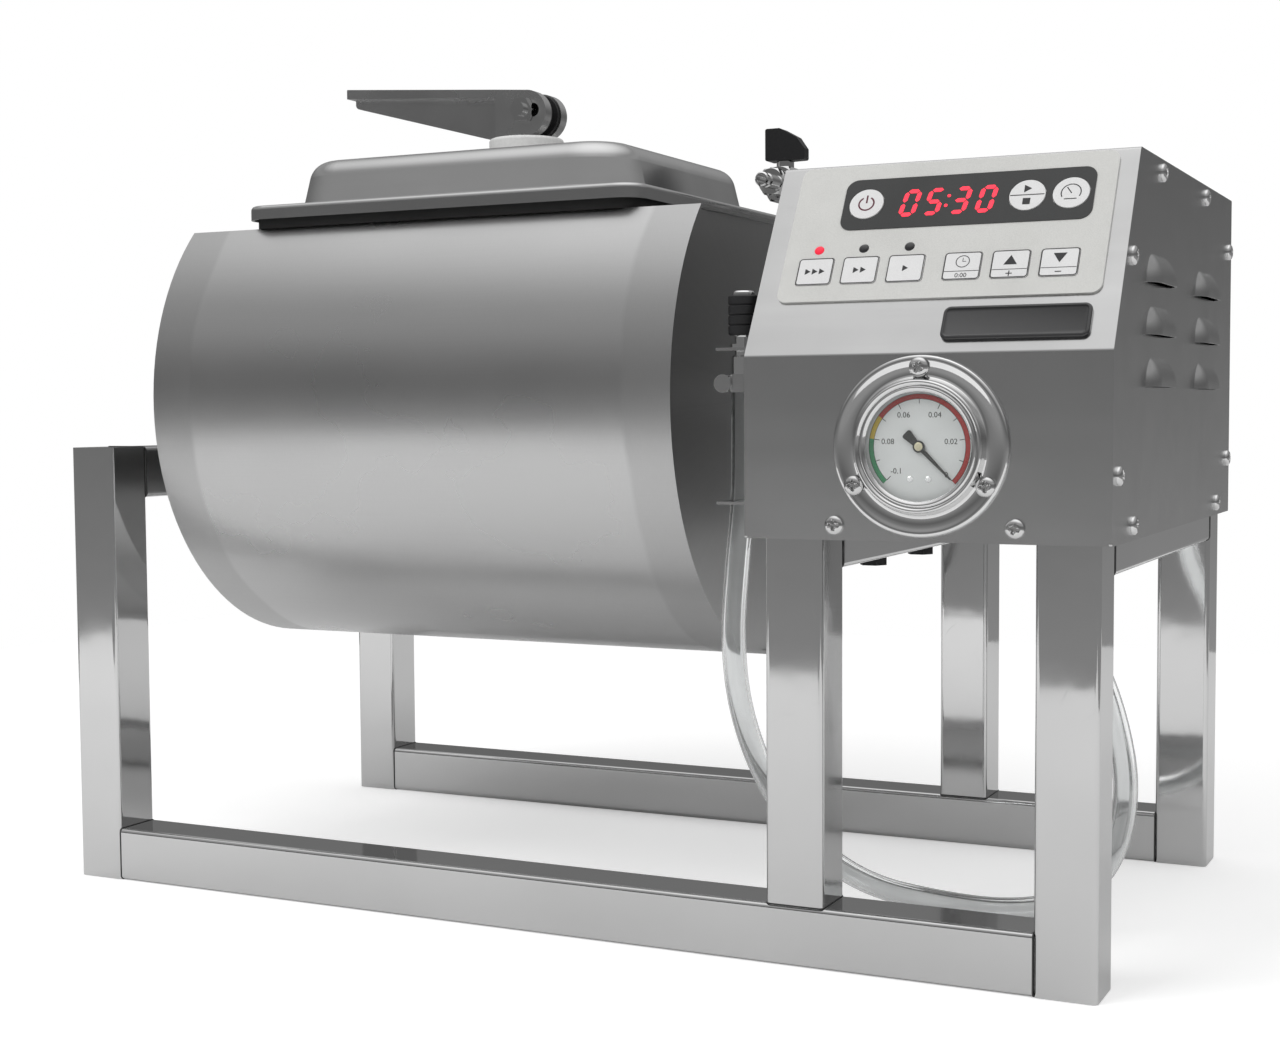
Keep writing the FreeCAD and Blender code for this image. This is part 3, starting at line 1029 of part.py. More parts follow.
def make_floor():
    """The floor plate on the frame, with edges folded down beside and between the posts."""
    x0, x1 = BOX_X0 + SHEET, BOX_X1 - SHEET
    y0, y1 = BOX_Y0 + SHEET, BOX_Y1 - SHEET
    floor = block(x0, x1, y0, y1, BOX_SEAT_Z, FLOOR_Z)
    bay_x0, bay_x1 = MIDDLE_X1 + FLOOR_FLANGE_EASE, RIGHT_X0 - FLOOR_FLANGE_EASE
    floor = fuse(floor, block(x0, x0 + SHEET, y0, y1, SKIRT_Z, BOX_SEAT_Z),
                 block(x1 - SHEET, x1, y0, y1, SKIRT_Z, BOX_SEAT_Z),
                 block(bay_x0, bay_x1, y0, y0 + SHEET, SKIRT_Z, BOX_SEAT_Z),
                 block(bay_x0, bay_x1, y1 - SHEET, y1, SKIRT_Z, BOX_SEAT_Z))
    for place in bearing_bolt_places(RIGHT_BEARING_X):
        floor = floor.cut(rod(place, Z_AXIS, BOLT_RADIUS + BOLT_CLEARANCE, 2 * BOX_SEAT_Z))
    barb = Vector(BARB_X, BARB_Y, 0)
    return floor.cut(rod(barb, Z_AXIS, BARB_STEM_RADIUS + WELD_GAP, 2 * BOX_SEAT_Z))


def side_panel(x):
    """A flat side panel on the box's full outline, from x to x + the sheet."""
    points = [Vector(x, y, z) for y, z in box_outline(0, SKIRT_Z, BOX_Y1)]
    points.append(Vector(x, BOX_Y1, SKIRT_Z))
    return prism(points, [1, BEND_RADIUS, BEND_RADIUS, 1, 1], Vector(SHEET, 0, 0))


def louvre_hood(place, radius, sink):
    """A lanced hood as a solid: a rounded rod sunk behind the panel, cut level below."""
    straight = LOUVRE_LENGTH - 2 * LOUVRE_HEIGHT
    start = place + Vector(-sink, -straight / 2, 0)
    hood = rod(start, Y_AXIS, radius, straight)
    hood = hood.fuse(Part.makeSphere(radius, start))
    hood = hood.fuse(Part.makeSphere(radius, start + Y_AXIS * straight))
    reach = 2 * radius + straight
    keep = block(BOX_X1 - SHEET, BOX_X1 + radius, place.y - reach, place.y + reach, place.z, place.z + radius)
    return hood.common(keep)


def make_right_panel():
    """The right panel with its rows of louvres, hooded and open downwards."""
    panel = side_panel(BOX_X1 - SHEET)
    radius = (LOUVRE_HEIGHT ** 2 + LOUVRE_RISE ** 2) / (2 * LOUVRE_RISE)
    sink = radius - LOUVRE_RISE
    for column in LOUVRE_COLUMNS:
        for row in range(LOUVRE_ROWS):
            place = Vector(BOX_X1, BOX_Y0 + column, BOX_TOP - LOUVRE_TOP_DROP - row * LOUVRE_PITCH)
            panel = panel.fuse(louvre_hood(place, radius, sink))
            panel = panel.cut(louvre_hood(place, radius - LOUVRE_SHEET, sink))
    return panel.removeSplitter()


def make_box():
    """The control box: wrap, floor, back and side panels, and all their screws."""
    left = side_panel(BOX_X0)
    shaft_place = Vector(0, AXIS_Y, DRUM_AXIS_Z)
    left = left.cut(rod(shaft_place, X_AXIS, SHAFT_RADIUS + SHAFT_HOLE_EASE, 2 * BOX_X0))
    pieces = {"box_wrap": make_wrap(), "box_floor": make_floor(), "box_back_panel": make_back_panel(),
              "box_left_panel": left, "box_right_panel": make_right_panel()}
    screws = []
    for place, inwards, panel in panel_screw_spots():
        way = screw_way(place, inwards)
        for name in (panel, "box_wrap", "box_floor", "box_back_panel"):
            if pieces[name].BoundBox.intersect(way.BoundBox):
                pieces[name] = pieces[name].cut(way)
        screws.append(pan_screw(place, inwards))
    for place in gauge_screw_spots():
        pieces["box_wrap"] = pieces["box_wrap"].cut(screw_way(place, Y_AXIS))
        screws.append(pan_screw(place, Y_AXIS))
    nodes = {name: [piece] for name, piece in pieces.items()}
    nodes["panel_screws"] = screws
    return nodes


# --------------------------------------------------------------------------------- gauge
def make_gauge():
    """The panel gauge: case, dial, needle on its arbor, lens and stepped chrome flange."""
    centre = Vector(0, 0, 0)
    case_floor = DIAL_AIR
    shoulder = SIDE_GAP - SHEET
    case_outline = ((0, -GAUGE_CASE_DEPTH), (GAUGE_BODY_RADIUS - GAUGE_BODY_CHAMFER, -GAUGE_CASE_DEPTH),
                    (GAUGE_BODY_RADIUS, GAUGE_BODY_CHAMFER - GAUGE_CASE_DEPTH),
                    (GAUGE_BODY_RADIUS, shoulder), (GAUGE_CASE_RADIUS, shoulder),
                    (GAUGE_CASE_RADIUS, LENS_REST),
                    (GAUGE_CASE_RADIUS - GAUGE_CASE_WALL, LENS_REST),
                    (GAUGE_CASE_RADIUS - GAUGE_CASE_WALL, case_floor), (0, case_floor))
    case = revolve(case_outline, centre)
    arbor_depth = 4 * NEEDLE_THICKNESS
    arbor_way = rod(centre - Z_AXIS * arbor_depth, Z_AXIS, ARBOR_RADIUS + RUNNING_GAP, 2 * arbor_depth)
    socket = rod(centre - Z_AXIS * (GAUGE_CASE_DEPTH + GAUGE_SOCKET), Z_AXIS, GAUGE_SOCKET_RADIUS,
                 GAUGE_SOCKET)
    case = fuse(case, socket).cut(arbor_way)

    dial_low = case_floor
    dial_radius = GAUGE_CASE_RADIUS - GAUGE_CASE_WALL - WELD_GAP
    dial = rod(centre + Z_AXIS * dial_low, Z_AXIS, dial_radius, DIAL_THICKNESS).cut(arbor_way)

    lens = rod(centre + Z_AXIS * LENS_REST, Z_AXIS, GAUGE_CASE_RADIUS, LENS_THICKNESS)

    bore = GAUGE_CASE_RADIUS + SIDE_GAP
    bezel = bore + GAUGE_BEZEL_WALL
    lip_low = LENS_REST + LENS_THICKNESS
    edge = GAUGE_EDGE_CHAMFER
    foot = GAUGE_FOOT_CHAMFER
    flange_outline = ((bore, 0), (GAUGE_FLANGE_RADIUS, 0), (GAUGE_FLANGE_RADIUS, GAUGE_FLANGE - edge),
                      (GAUGE_FLANGE_RADIUS - edge, GAUGE_FLANGE), (bezel + foot, GAUGE_FLANGE),
                      (bezel, GAUGE_FLANGE + foot), (bezel, GAUGE_RISE - edge), (bezel - edge, GAUGE_RISE),
                      (GAUGE_WINDOW_RADIUS + edge, GAUGE_RISE), (GAUGE_WINDOW_RADIUS, GAUGE_RISE - edge),
                      (GAUGE_WINDOW_RADIUS, lip_low), (bore, lip_low))
    flange = on_gauge(revolve(flange_outline, centre))
    for place in gauge_screw_spots():
        flange = flange.cut(screw_way(place, Y_AXIS))

    needle_low = dial_low + DIAL_THICKNESS + DIAL_AIR
    tip_turn = math.radians(NEEDLE_ANGLE)
    ahead = Vector(math.cos(tip_turn), math.sin(tip_turn), 0)
    side = Vector(-ahead.y, ahead.x, 0)
    base = Vector(0, 0, needle_low)
    tip, waist, end = side * NEEDLE_TIP_WIDTH / 2, side * NEEDLE_WAIST / 2, side * NEEDLE_TAIL_WIDTH / 2
    blade = prism([base + ahead * NEEDLE_LENGTH + tip, base + waist, base - waist,
                   base + ahead * NEEDLE_LENGTH - tip], [0] * 4, Vector(0, 0, NEEDLE_THICKNESS))
    tail = prism([base + waist, base - ahead * NEEDLE_TAIL + end, base - ahead * NEEDLE_TAIL - end,
                  base - waist], [0, NEEDLE_WAIST / 2, NEEDLE_WAIST / 2, 0], Vector(0, 0, NEEDLE_THICKNESS))
    hub = rod(base, Z_AXIS, NEEDLE_HUB, NEEDLE_THICKNESS)
    arbor_low = needle_low - 3 * NEEDLE_THICKNESS
    arbor = rod(Vector(0, 0, arbor_low), Z_AXIS, ARBOR_RADIUS, needle_low - arbor_low)
    needle = fuse(blade, tail, hub, arbor)
    return {"gauge_flange": [flange], "gauge_case": [on_gauge(case)], "gauge_dial": [on_gauge(dial)],
            "gauge_lens": [on_gauge(lens)], "gauge_needle": [on_gauge(needle)]}


# -------------------------------------------------------------------------------- keypad
def make_keypad():
    """The keypad on the slope: overlay, window, nine keys, three lights and a bare badge."""
    def centred(left, low, width, height, corner, base, thickness):
        middle = Vector(left + width / 2, low + height / 2, base)
        return plate(middle, width, height, corner, thickness)

    overlay = centred(OVERLAY_LEFT, OVERLAY_LOW, OVERLAY_WIDTH, OVERLAY_HEIGHT, OVERLAY_CORNER, 0,
                      OVERLAY_THICKNESS)
    window = centred(WINDOW_LEFT, WINDOW_LOW, WINDOW_WIDTH, WINDOW_HEIGHT, WINDOW_CORNER,
                     OVERLAY_THICKNESS, WINDOW_THICKNESS)
    through = 3 * OVERLAY_THICKNESS
    nodes = {}
    for name, across in ROUND_KEYS.items():
        base = Vector(across, ROUND_KEY_ROW, KEY_AIR)
        key = rod(base, Z_AXIS, ROUND_KEY_RADIUS, KEY_THICKNESS + WINDOW_THICKNESS)
        key = key.makeFillet(SIDE_GAP, edges_at(key, KEY_AIR + KEY_THICKNESS + WINDOW_THICKNESS))
        way = rod(Vector(across, ROUND_KEY_ROW, -OVERLAY_THICKNESS), Z_AXIS, ROUND_KEY_RADIUS + KEY_GAP, through)
        overlay = overlay.cut(way)
        window = window.cut(way)
        nodes[name] = [on_slope(key)]
    lights = []
    for name, across in SQUARE_KEYS.items():
        key = plate(Vector(across, SQUARE_KEY_ROW, KEY_AIR), *SQUARE_KEY, SQUARE_KEY_ROUND, KEY_THICKNESS)
        key = key.makeFillet(SIDE_GAP, edges_at(key, KEY_AIR + KEY_THICKNESS))
        overlay = overlay.cut(plate(Vector(across, SQUARE_KEY_ROW, -OVERLAY_THICKNESS),
                                    SQUARE_KEY[0] + 2 * KEY_GAP, SQUARE_KEY[1] + 2 * KEY_GAP,
                                    SQUARE_KEY_ROUND + KEY_GAP, through))
        nodes[name] = [on_slope(key)]
        if len(lights) < LIGHT_COUNT:
            place = Vector(across, LIGHT_ROW, 0)
            overlay = overlay.cut(rod(place, Z_AXIS, LIGHT_RADIUS + WELD_GAP, through))
            dot = rod(place, Z_AXIS, LIGHT_RADIUS, OVERLAY_THICKNESS + LIGHT_RISE)
            dot = dot.makeFillet(LIGHT_RISE, edges_at(dot, OVERLAY_THICKNESS + LIGHT_RISE))
            lights.append(on_slope(dot))
    badge = centred(BADGE_LEFT, BADGE_LOW, BADGE_WIDTH, BADGE_HEIGHT, BADGE_CORNER, 0, BADGE_THICKNESS)
    badge = badge.makeFillet(2 * SIDE_GAP, edges_at(badge, BADGE_THICKNESS))
    nodes["keypad_overlay"] = [on_slope(overlay)]
    nodes["display_window"] = [on_slope(window)]
    nodes["speed_lights"] = lights
    nodes["badge_plate"] = [on_slope(badge)]
    return nodes


# ---------------------------------------------------------------------- inside the box
def make_drive():
    """The gearbox on the drum's shaft and the motor on its back."""
    axis = Vector(GEARBOX_X0, AXIS_Y, DRUM_AXIS_Z)
    y0, y1 = AXIS_Y - GEARBOX_DEPTH / 2, AXIS_Y + GEARBOX_DEPTH / 2
    low_z = DRUM_AXIS_Z - GEARBOX_BELOW
    body = block(GEARBOX_X0, GEARBOX_X1, y0, y1, low_z, DRUM_AXIS_Z + GEARBOX_ABOVE)
    body = body.makeFillet(GEARBOX_ROUND, [edge for edge in body.Edges
                                           if abs(edge.BoundBox.XLength - GEARBOX_WIDTH) < 0.01])
    boss = rod(axis - X_AXIS * GEARBOX_BOSS, X_AXIS, GEARBOX_BOSS_RADIUS, GEARBOX_WIDTH + 2 * GEARBOX_BOSS)
    foot = block(GEARBOX_X0, GEARBOX_X1, y0 - GEARBOX_TOE, y1, FLOOR_Z, FLOOR_Z + GEARBOX_FOOT)
    column = block(GEARBOX_X0, GEARBOX_X1, y0 + GEARBOX_ROUND, y1 - GEARBOX_ROUND, FLOOR_Z, low_z + 1)
    gearbox = fuse(body, boss, foot, column)
    gearbox = gearbox.cut(rod(axis - X_AXIS * GEARBOX_WIDTH, X_AXIS, SHAFT_RADIUS + RUNNING_GAP,
                              3 * GEARBOX_WIDTH))

    worm = Vector((GEARBOX_X0 + GEARBOX_X1) / 2, MOTOR_Y0, WORM_Z)
    length = MOTOR_Y1 - MOTOR_Y0
    flange = rod(worm, Y_AXIS, MOTOR_RADIUS + 2 * SHEET, MOTOR_FLANGE)
    barrel = rod(worm, Y_AXIS, MOTOR_RADIUS, length - MOTOR_COWL)
    cowl = rod(worm + Y_AXIS * (length - MOTOR_COWL), Y_AXIS, MOTOR_RADIUS + SHEET, MOTOR_COWL)
    width, depth, height = TERMINAL_BOX
    terminals_y = MOTOR_Y0 + MOTOR_FLANGE + TERMINAL_GAP
    terminals = block(worm.x - width / 2, worm.x + width / 2, terminals_y, terminals_y + depth,
                      WORM_Z, WORM_Z + MOTOR_RADIUS + height)
    return {"gearbox": [gearbox], "drive_motor": [fuse(flange, barrel, cowl, terminals)]}


def make_pump():
    """The diaphragm vacuum pump on rubber feet, and the barb that leads out of the floor."""
    length, depth, height = PUMP_SIZE
    x0 = BOX_X0 + PUMP_X
    base_z = FLOOR_Z + PUMP_FOOT
    head = block(x0, x0 + PUMP_HEAD, PUMP_Y0, PUMP_Y0 + depth, base_z, base_z + height)
    tray = block(x0, x0 + length, PUMP_Y0, PUMP_Y0 + depth, base_z, base_z + SHEET)
    motor = rod(Vector(x0, PUMP_Y0 + depth / 2, base_z + height / 2), X_AXIS, PUMP_MOTOR_RADIUS, length)
    saddle_x = x0 + PUMP_SADDLE_START
    saddle_y = PUMP_Y0 + (depth - PUMP_SADDLE[1]) / 2
    saddle = block(saddle_x, saddle_x + PUMP_SADDLE[0], saddle_y, saddle_y + PUMP_SADDLE[1],
                   base_z, base_z + height / 2)
    pump = [fuse(head, tray, motor, saddle)]
    for across in (PUMP_FOOT_RADIUS, length - PUMP_FOOT_RADIUS):
        for along in (PUMP_FOOT_RADIUS, depth - PUMP_FOOT_RADIUS):
            place = Vector(x0 + across, PUMP_Y0 + along, FLOOR_Z)
            pump.append(rod(place, Z_AXIS, PUMP_FOOT_RADIUS, PUMP_FOOT))
    barb_axis = Vector(BARB_X, BARB_Y, 0)
    nut_height = BOLT_HEAD_HEIGHT
    stem = rod(HOSE_START, Z_AXIS, BARB_STEM_RADIUS, FLOOR_Z + 2 * nut_height - HOSE_START.z)
    inner_nut = hexagon(barb_axis + Z_AXIS * FLOOR_Z, Z_AXIS, BARB_HEX_FLATS, nut_height)
    outer_nut = hexagon(barb_axis + Z_AXIS * (BOX_SEAT_Z - nut_height), Z_AXIS, BARB_HEX_FLATS, nut_height)
    return {"vacuum_pump": pump, "pump_barb": [fuse(stem, inner_nut, outer_nut)]}


def make_board():
    """The control board on standoffs behind the slope, with its display block."""
    board_z = -SHEET - BOARD_DEPTH
    middle = Vector(OVERLAY_LEFT + OVERLAY_WIDTH / 2, OVERLAY_LOW + OVERLAY_HEIGHT / 2, board_z)
    length = OVERLAY_WIDTH - 2 * FLANGE
    board = plate(middle, length, OVERLAY_HEIGHT - FLANGE, BOARD_CORNER, BOARD_THICKNESS)
    posts = []
    for across in (-1, 1):
        for up in (-1, 1):
            foot = middle + Vector(across * (length / 2 - STANDOFF_INSET), up * (OVERLAY_HEIGHT / 2 - FLANGE), 0)
            posts.append(rod(foot, Z_AXIS, STANDOFF_RADIUS, BOARD_DEPTH))
    width, height = DISPLAY_SIZE
    display = plate(Vector(*DISPLAY_CENTRE, board_z), width - DISPLAY_EASE, height - DISPLAY_EASE, DISPLAY_EASE,
                    BOARD_DEPTH + SHEET)
    return {"control_board": [on_slope(fuse(board, display, *posts))]}


def make_gland():
    """The mains cable gland through the back panel: nut, hexagon, dome and bore."""
    place = Vector(BOX_X0 + GLAND_X, BOX_Y1, BOX_SEAT_Z + GLAND_RISE)
    nut_height = BOLT_HEAD_HEIGHT
    flange = hexagon(place, Y_AXIS, GLAND_FLATS, nut_height)
    dome_part = Part.makeCone(GLAND_RADIUS, GLAND_BORE + 2, GLAND_LENGTH - nut_height,
                              place + Y_AXIS * nut_height, Y_AXIS)
    thread = rod(place - Y_AXIS * (SHEET + nut_height), Y_AXIS, GLAND_BORE + SHEET, SHEET + nut_height)
    nut = hexagon(place - Y_AXIS * (SHEET + nut_height), Y_AXIS, GLAND_FLATS, nut_height)
    gland = fuse(flange, dome_part, thread, nut)
    way = rod(place - Y_AXIS * GLAND_LENGTH, Y_AXIS, GLAND_BORE, 3 * GLAND_LENGTH)
    return {"cable_gland": [gland.cut(way)]}


# ------------------------------------------------------------------------ hose and coupler
def make_coupler():
    """The quick coupler in its parking bracket: body, sprung sleeve, clamp and brackets."""
    axis = Vector(COUPLER_X, COUPLER_Y, 0)
    nut_top = COUPLER_SEAT - COUPLER_NECK
    collar_top = COUPLER_SEAT + COUPLER_COLLAR
    sleeve_top = SLEEVE_LOW + SLEEVE_LENGTH
    bevel = COUPLER_BEVEL
    body_outline = ((0, HOSE_END.z), (COUPLER_NUT_RADIUS, HOSE_END.z), (COUPLER_NUT_RADIUS, nut_top - bevel),
                    (COUPLER_NUT_RADIUS - bevel, nut_top), (COUPLER_NECK_RADIUS, nut_top),
                    (COUPLER_NECK_RADIUS, COUPLER_SEAT), (COUPLER_COLLAR_RADIUS, COUPLER_SEAT),
                    (COUPLER_COLLAR_RADIUS, collar_top), (COUPLER_NECK_RADIUS, collar_top),
                    (COUPLER_NECK_RADIUS, SLEEVE_LOW - bevel), (COUPLER_BODY_RADIUS, SLEEVE_LOW),
                    (COUPLER_BODY_RADIUS, COUPLER_TOP - bevel), (COUPLER_BODY_RADIUS - bevel, COUPLER_TOP),
                    (SOCKET_RADIUS, COUPLER_TOP), (SOCKET_RADIUS, COUPLER_TOP - SOCKET_DEPTH),
                    (0, COUPLER_TOP - SOCKET_DEPTH))
    body = revolve(body_outline, axis)
    bore = COUPLER_BODY_RADIUS + RUNNING_GAP
    sleeve_outline = [(bore, sleeve_top), (bore, SLEEVE_LOW), (SLEEVE_RADIUS - bevel, SLEEVE_LOW),
                      (SLEEVE_RADIUS, SLEEVE_LOW + bevel)]
    for place in range(1, SLEEVE_GROOVES + 1):
        groove = SLEEVE_LOW + SLEEVE_LENGTH * place / (SLEEVE_GROOVES + 1)
        sleeve_outline += [(SLEEVE_RADIUS, groove - SLEEVE_GROOVE), (SLEEVE_RADIUS - SLEEVE_GROOVE, groove),
                           (SLEEVE_RADIUS, groove + SLEEVE_GROOVE)]
    sleeve_outline += [(SLEEVE_RADIUS, sleeve_top - bevel), (SLEEVE_RADIUS - bevel, sleeve_top)]
    sleeve = revolve(sleeve_outline, axis)

    band_radius = HOSE_RADIUS + WELD_GAP
    clamp_low = HOSE_END.z - CLAMP_WIDTH
    band = ring(axis + Z_AXIS * clamp_low, Z_AXIS, band_radius + CLAMP_BAND, band_radius, CLAMP_WIDTH)
    screw_start = Vector(COUPLER_X - band_radius - CLAMP_SCREW_RADIUS, COUPLER_Y - CLAMP_SCREW_LENGTH / 2,
                         clamp_low + CLAMP_WIDTH / 2)
    screw = rod(screw_start, Y_AXIS, CLAMP_SCREW_RADIUS, CLAMP_SCREW_LENGTH)
    head = rod(screw_start, Y_AXIS, CLAMP_HEAD_RADIUS, CLAMP_HEAD)
    screw = fuse(screw, head).cut(rod(axis, Z_AXIS, band_radius, 2 * HOSE_END.z))

    brackets = []
    reach_x = BOX_X0 - BRACKET_REACH
    y0, y1 = COUPLER_Y - BRACKET_WIDTH / 2, COUPLER_Y + BRACKET_WIDTH / 2
    for top_z, hole in ((COUPLER_SEAT, COUPLER_NECK_RADIUS + SIDE_GAP), (GUIDE_Z, HOSE_RADIUS + GUIDE_EASE)):
        shelf = block(reach_x, BOX_X0, y0, y1, top_z - BRACKET_PLATE, top_z)
        tab = block(BOX_X0 - BRACKET_PLATE, BOX_X0, y0, y1, top_z - BRACKET_TAB, top_z)
        bracket = fuse(shelf, tab).cut(rod(axis, Z_AXIS, hole, 2 * top_z))
        brackets.append(bracket)
    return {"coupler_body": [body], "coupler_sleeve": [sleeve], "hose_clamp": [fuse(band, screw)],
            "hose_brackets": brackets}


def make_hose():
    """The clear vacuum hose, from the barb under the box round to the parked coupler."""
    points = [HOSE_START]
    for across, share, height in HOSE_ROUTE:
        points.append(Vector(BOX_X0 + across, COUPLER_Y + share * (BARB_Y - COUPLER_Y), height))
    points.append(HOSE_END)
    radii = [0]
    for before, corner, after in zip(points, points[1:], points[2:]):
        turn = (corner - before).getAngle(after - corner)
        run = min((corner - before).Length, (after - corner).Length)
        radii.append(0.45 * run / math.tan(turn / 2))
    radii.append(0)
    path = rounded_wire(points, radii, closed=False)
    print("hose bend radii:", ", ".join("%.0f" % radius for radius in radii[1:-1]))
    section = Part.Wire(Part.makeCircle(HOSE_RADIUS, points[0], points[1] - points[0]))
    hose = path.makePipeShell([section], True, False)
    expected = math.pi * HOSE_RADIUS ** 2 * path.Length
    print("hose length %.0f mm, volume %.4f of section times length" % (path.Length, hose.Volume / expected))
    return {"vacuum_hose": [hose]}


# -------------------------------------------------------------------------------- export
def build():
    """Every node of the machine by name, each as a list of solids."""
    nodes = {"clamp_lever": [make_lever()]}
    for section in (make_frame, make_bearings, make_drum, make_lid, make_clamp, make_valve, make_box,
                    make_gauge, make_keypad, make_drive, make_pump, make_board, make_gland,
                    make_coupler, make_hose):
        nodes.update(section())
    return nodes


def main():
    """Build, move to the machine's own origin and write one STEP file per node."""
    os.makedirs("parts", exist_ok=True)
    for name, solids in build().items():
        moved = [solid.translated(ORIGIN * -1) for solid in solids]
        shape = moved[0] if len(moved) == 1 else Part.makeCompound(moved)
        shape.exportStep(os.path.join("parts", name + ".step"))


main()
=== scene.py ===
"""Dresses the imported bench-top vacuum tumbler: finishes, fine pieces, stage and camera.

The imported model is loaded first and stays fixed.  Its rigid pieces get their finishes, and
pieces worked out here stand for the ones that need more detail.  Lengths are in metres, in
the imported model's own frame: X along the drum, Y from front to back, Z up.
"""

from __future__ import annotations

import logging
import math
from collections.abc import Iterable, Sequence
from dataclasses import dataclass, field
from enum import Enum

import bmesh
import bpy
import numpy as np
from mathutils import Matrix, Vector


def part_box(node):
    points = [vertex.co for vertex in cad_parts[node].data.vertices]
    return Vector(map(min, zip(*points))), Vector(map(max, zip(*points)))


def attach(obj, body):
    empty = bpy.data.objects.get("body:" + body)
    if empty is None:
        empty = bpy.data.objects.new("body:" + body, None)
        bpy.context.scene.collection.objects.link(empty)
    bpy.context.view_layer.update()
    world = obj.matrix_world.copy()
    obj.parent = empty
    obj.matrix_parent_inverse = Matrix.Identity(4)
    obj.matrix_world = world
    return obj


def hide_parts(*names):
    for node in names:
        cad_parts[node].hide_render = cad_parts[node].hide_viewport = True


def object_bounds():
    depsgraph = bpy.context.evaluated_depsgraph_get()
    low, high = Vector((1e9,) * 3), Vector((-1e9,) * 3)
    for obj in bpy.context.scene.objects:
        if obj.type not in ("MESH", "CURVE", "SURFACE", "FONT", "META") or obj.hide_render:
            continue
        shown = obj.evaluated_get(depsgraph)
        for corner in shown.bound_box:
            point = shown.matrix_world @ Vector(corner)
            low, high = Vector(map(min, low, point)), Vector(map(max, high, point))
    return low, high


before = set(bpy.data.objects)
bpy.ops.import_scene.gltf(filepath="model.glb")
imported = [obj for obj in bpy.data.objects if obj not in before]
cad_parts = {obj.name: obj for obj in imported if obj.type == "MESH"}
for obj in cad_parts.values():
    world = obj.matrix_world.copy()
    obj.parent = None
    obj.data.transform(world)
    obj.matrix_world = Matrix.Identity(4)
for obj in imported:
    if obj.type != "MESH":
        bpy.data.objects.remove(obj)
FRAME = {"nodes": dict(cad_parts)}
CAD_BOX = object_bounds()
LOG = logging.getLogger("tumbler")
STEEL_BODY = "machine_frame"
SAME_POINT = 1e-7
FIGURE_SHARE = 0.7


# ------------------------------------------------------------------------------- shapes
@dataclass(frozen=True)
class Shape:
    """Points and faces of a surface, before it becomes a mesh."""

    points: np.ndarray
    faces: list[tuple[int, ...]]

    def placed(self, seat: Matrix) -> Shape:
        """The shape carried from its own frame onto a seat.

        Args:
            seat: Matrix whose columns are the seat's axes and origin.

        Returns:
            A new shape with its points multiplied by the matrix.
        """
        matrix = np.array(seat)
        return Shape(self.points @ matrix[:3, :3].T + matrix[:3, 3], self.faces)

    def with_ends(self, rows: int, columns: int) -> Shape:
        """The grid shape with its first and last rows closed by flat faces."""
        first = tuple(range(columns))[::-1]
        last = tuple(range((rows - 1) * columns, rows * columns))
        return Shape(self.points, self.faces + [first, last])


def joined(shapes: Iterable[Shape]) -> Shape:
    """One shape from several, kept in their order.

    Args:
        shapes: The shapes to put together.

    Returns:
        A shape holding all points, with the faces renumbered.
    """
    points: list[np.ndarray] = []
    faces: list[tuple[int, ...]] = []
    count = 0
    for shape in shapes:
        points.append(shape.points)
        faces.extend(tuple(corner + count for corner in face) for face in shape.faces)
        count += len(shape.points)
    return Shape(np.concatenate(points), faces)


def grid_shape(points: np.ndarray, wrap_rows: bool = False, wrap_columns: bool = False) -> Shape:
    """A surface from a grid of points: each face joins two rows and two columns.

    Args:
        points: Array of rows x columns x 3.
        wrap_rows: Whether the last row joins the first.
        wrap_columns: Whether the last column joins the first.

    Returns:
        The shape with one four-sided face per grid cell.
    """
    rows, columns = points.shape[:2]
    row = np.arange(rows if wrap_rows else rows - 1)[:, None]
    column = np.arange(columns if wrap_columns else columns - 1)[None, :]
    below = row * columns
    above = (row + 1) % rows * columns
    beside = (column + 1) % columns
    quads = np.stack([below + column, below + beside, above + beside, above + column], -1)
    return Shape(points.reshape(-1, 3), [tuple(quad) for quad in quads.reshape(-1, 4).tolist()])


def turned(profile: Sequence[tuple[float, float]], segments: int = 96) -> Shape:
    """A profile of (radius, height) turned about Z: point = (r cos a, r sin a, h)."""
    outline = np.array(profile)
    angle = np.linspace(0, 2 * math.pi, segments, endpoint=False)
    radius = outline[:, 0, None]
    height = np.broadcast_to(outline[:, 1, None], (len(outline), segments))
    points = np.stack([radius * np.cos(angle), radius * np.sin(angle), height], -1)
    return grid_shape(points, wrap_columns=True)


def swept(path: np.ndarray, radius: float, sides: int = 16, closed: bool = False,
          reference: Sequence[float] = (0, 1, 0)) -> Shape:
    """A round section carried along a path.

    Each ring's point is path + r (n cos a + b sin a), where n is the reference made square
    to the path's direction and b is square to both.

    Args:
        path: Array of points along the middle line.
        radius: Radius of the section.
        sides: Points around the section.
        closed: Whether the path closes on itself.
        reference: A direction that the path never follows.

    Returns:
        The tube, open at its ends where the path is open.
    """
    if closed:
        ahead = np.roll(path, -1, 0) - np.roll(path, 1, 0)
    else:
        ahead = np.gradient(path, axis=0)
    ahead /= np.linalg.norm(ahead, axis=1, keepdims=True)
    normal = np.array(reference, float) - (ahead @ np.array(reference, float))[:, None] * ahead
    normal /= np.linalg.norm(normal, axis=1, keepdims=True)
    binormal = np.cross(ahead, normal)
    angle = np.linspace(0, 2 * math.pi, sides, endpoint=False)[None, :, None]
    spokes = normal[:, None] * np.cos(angle) + binormal[:, None] * np.sin(angle)
    return grid_shape(path[:, None] + radius * spokes, wrap_rows=closed, wrap_columns=True)


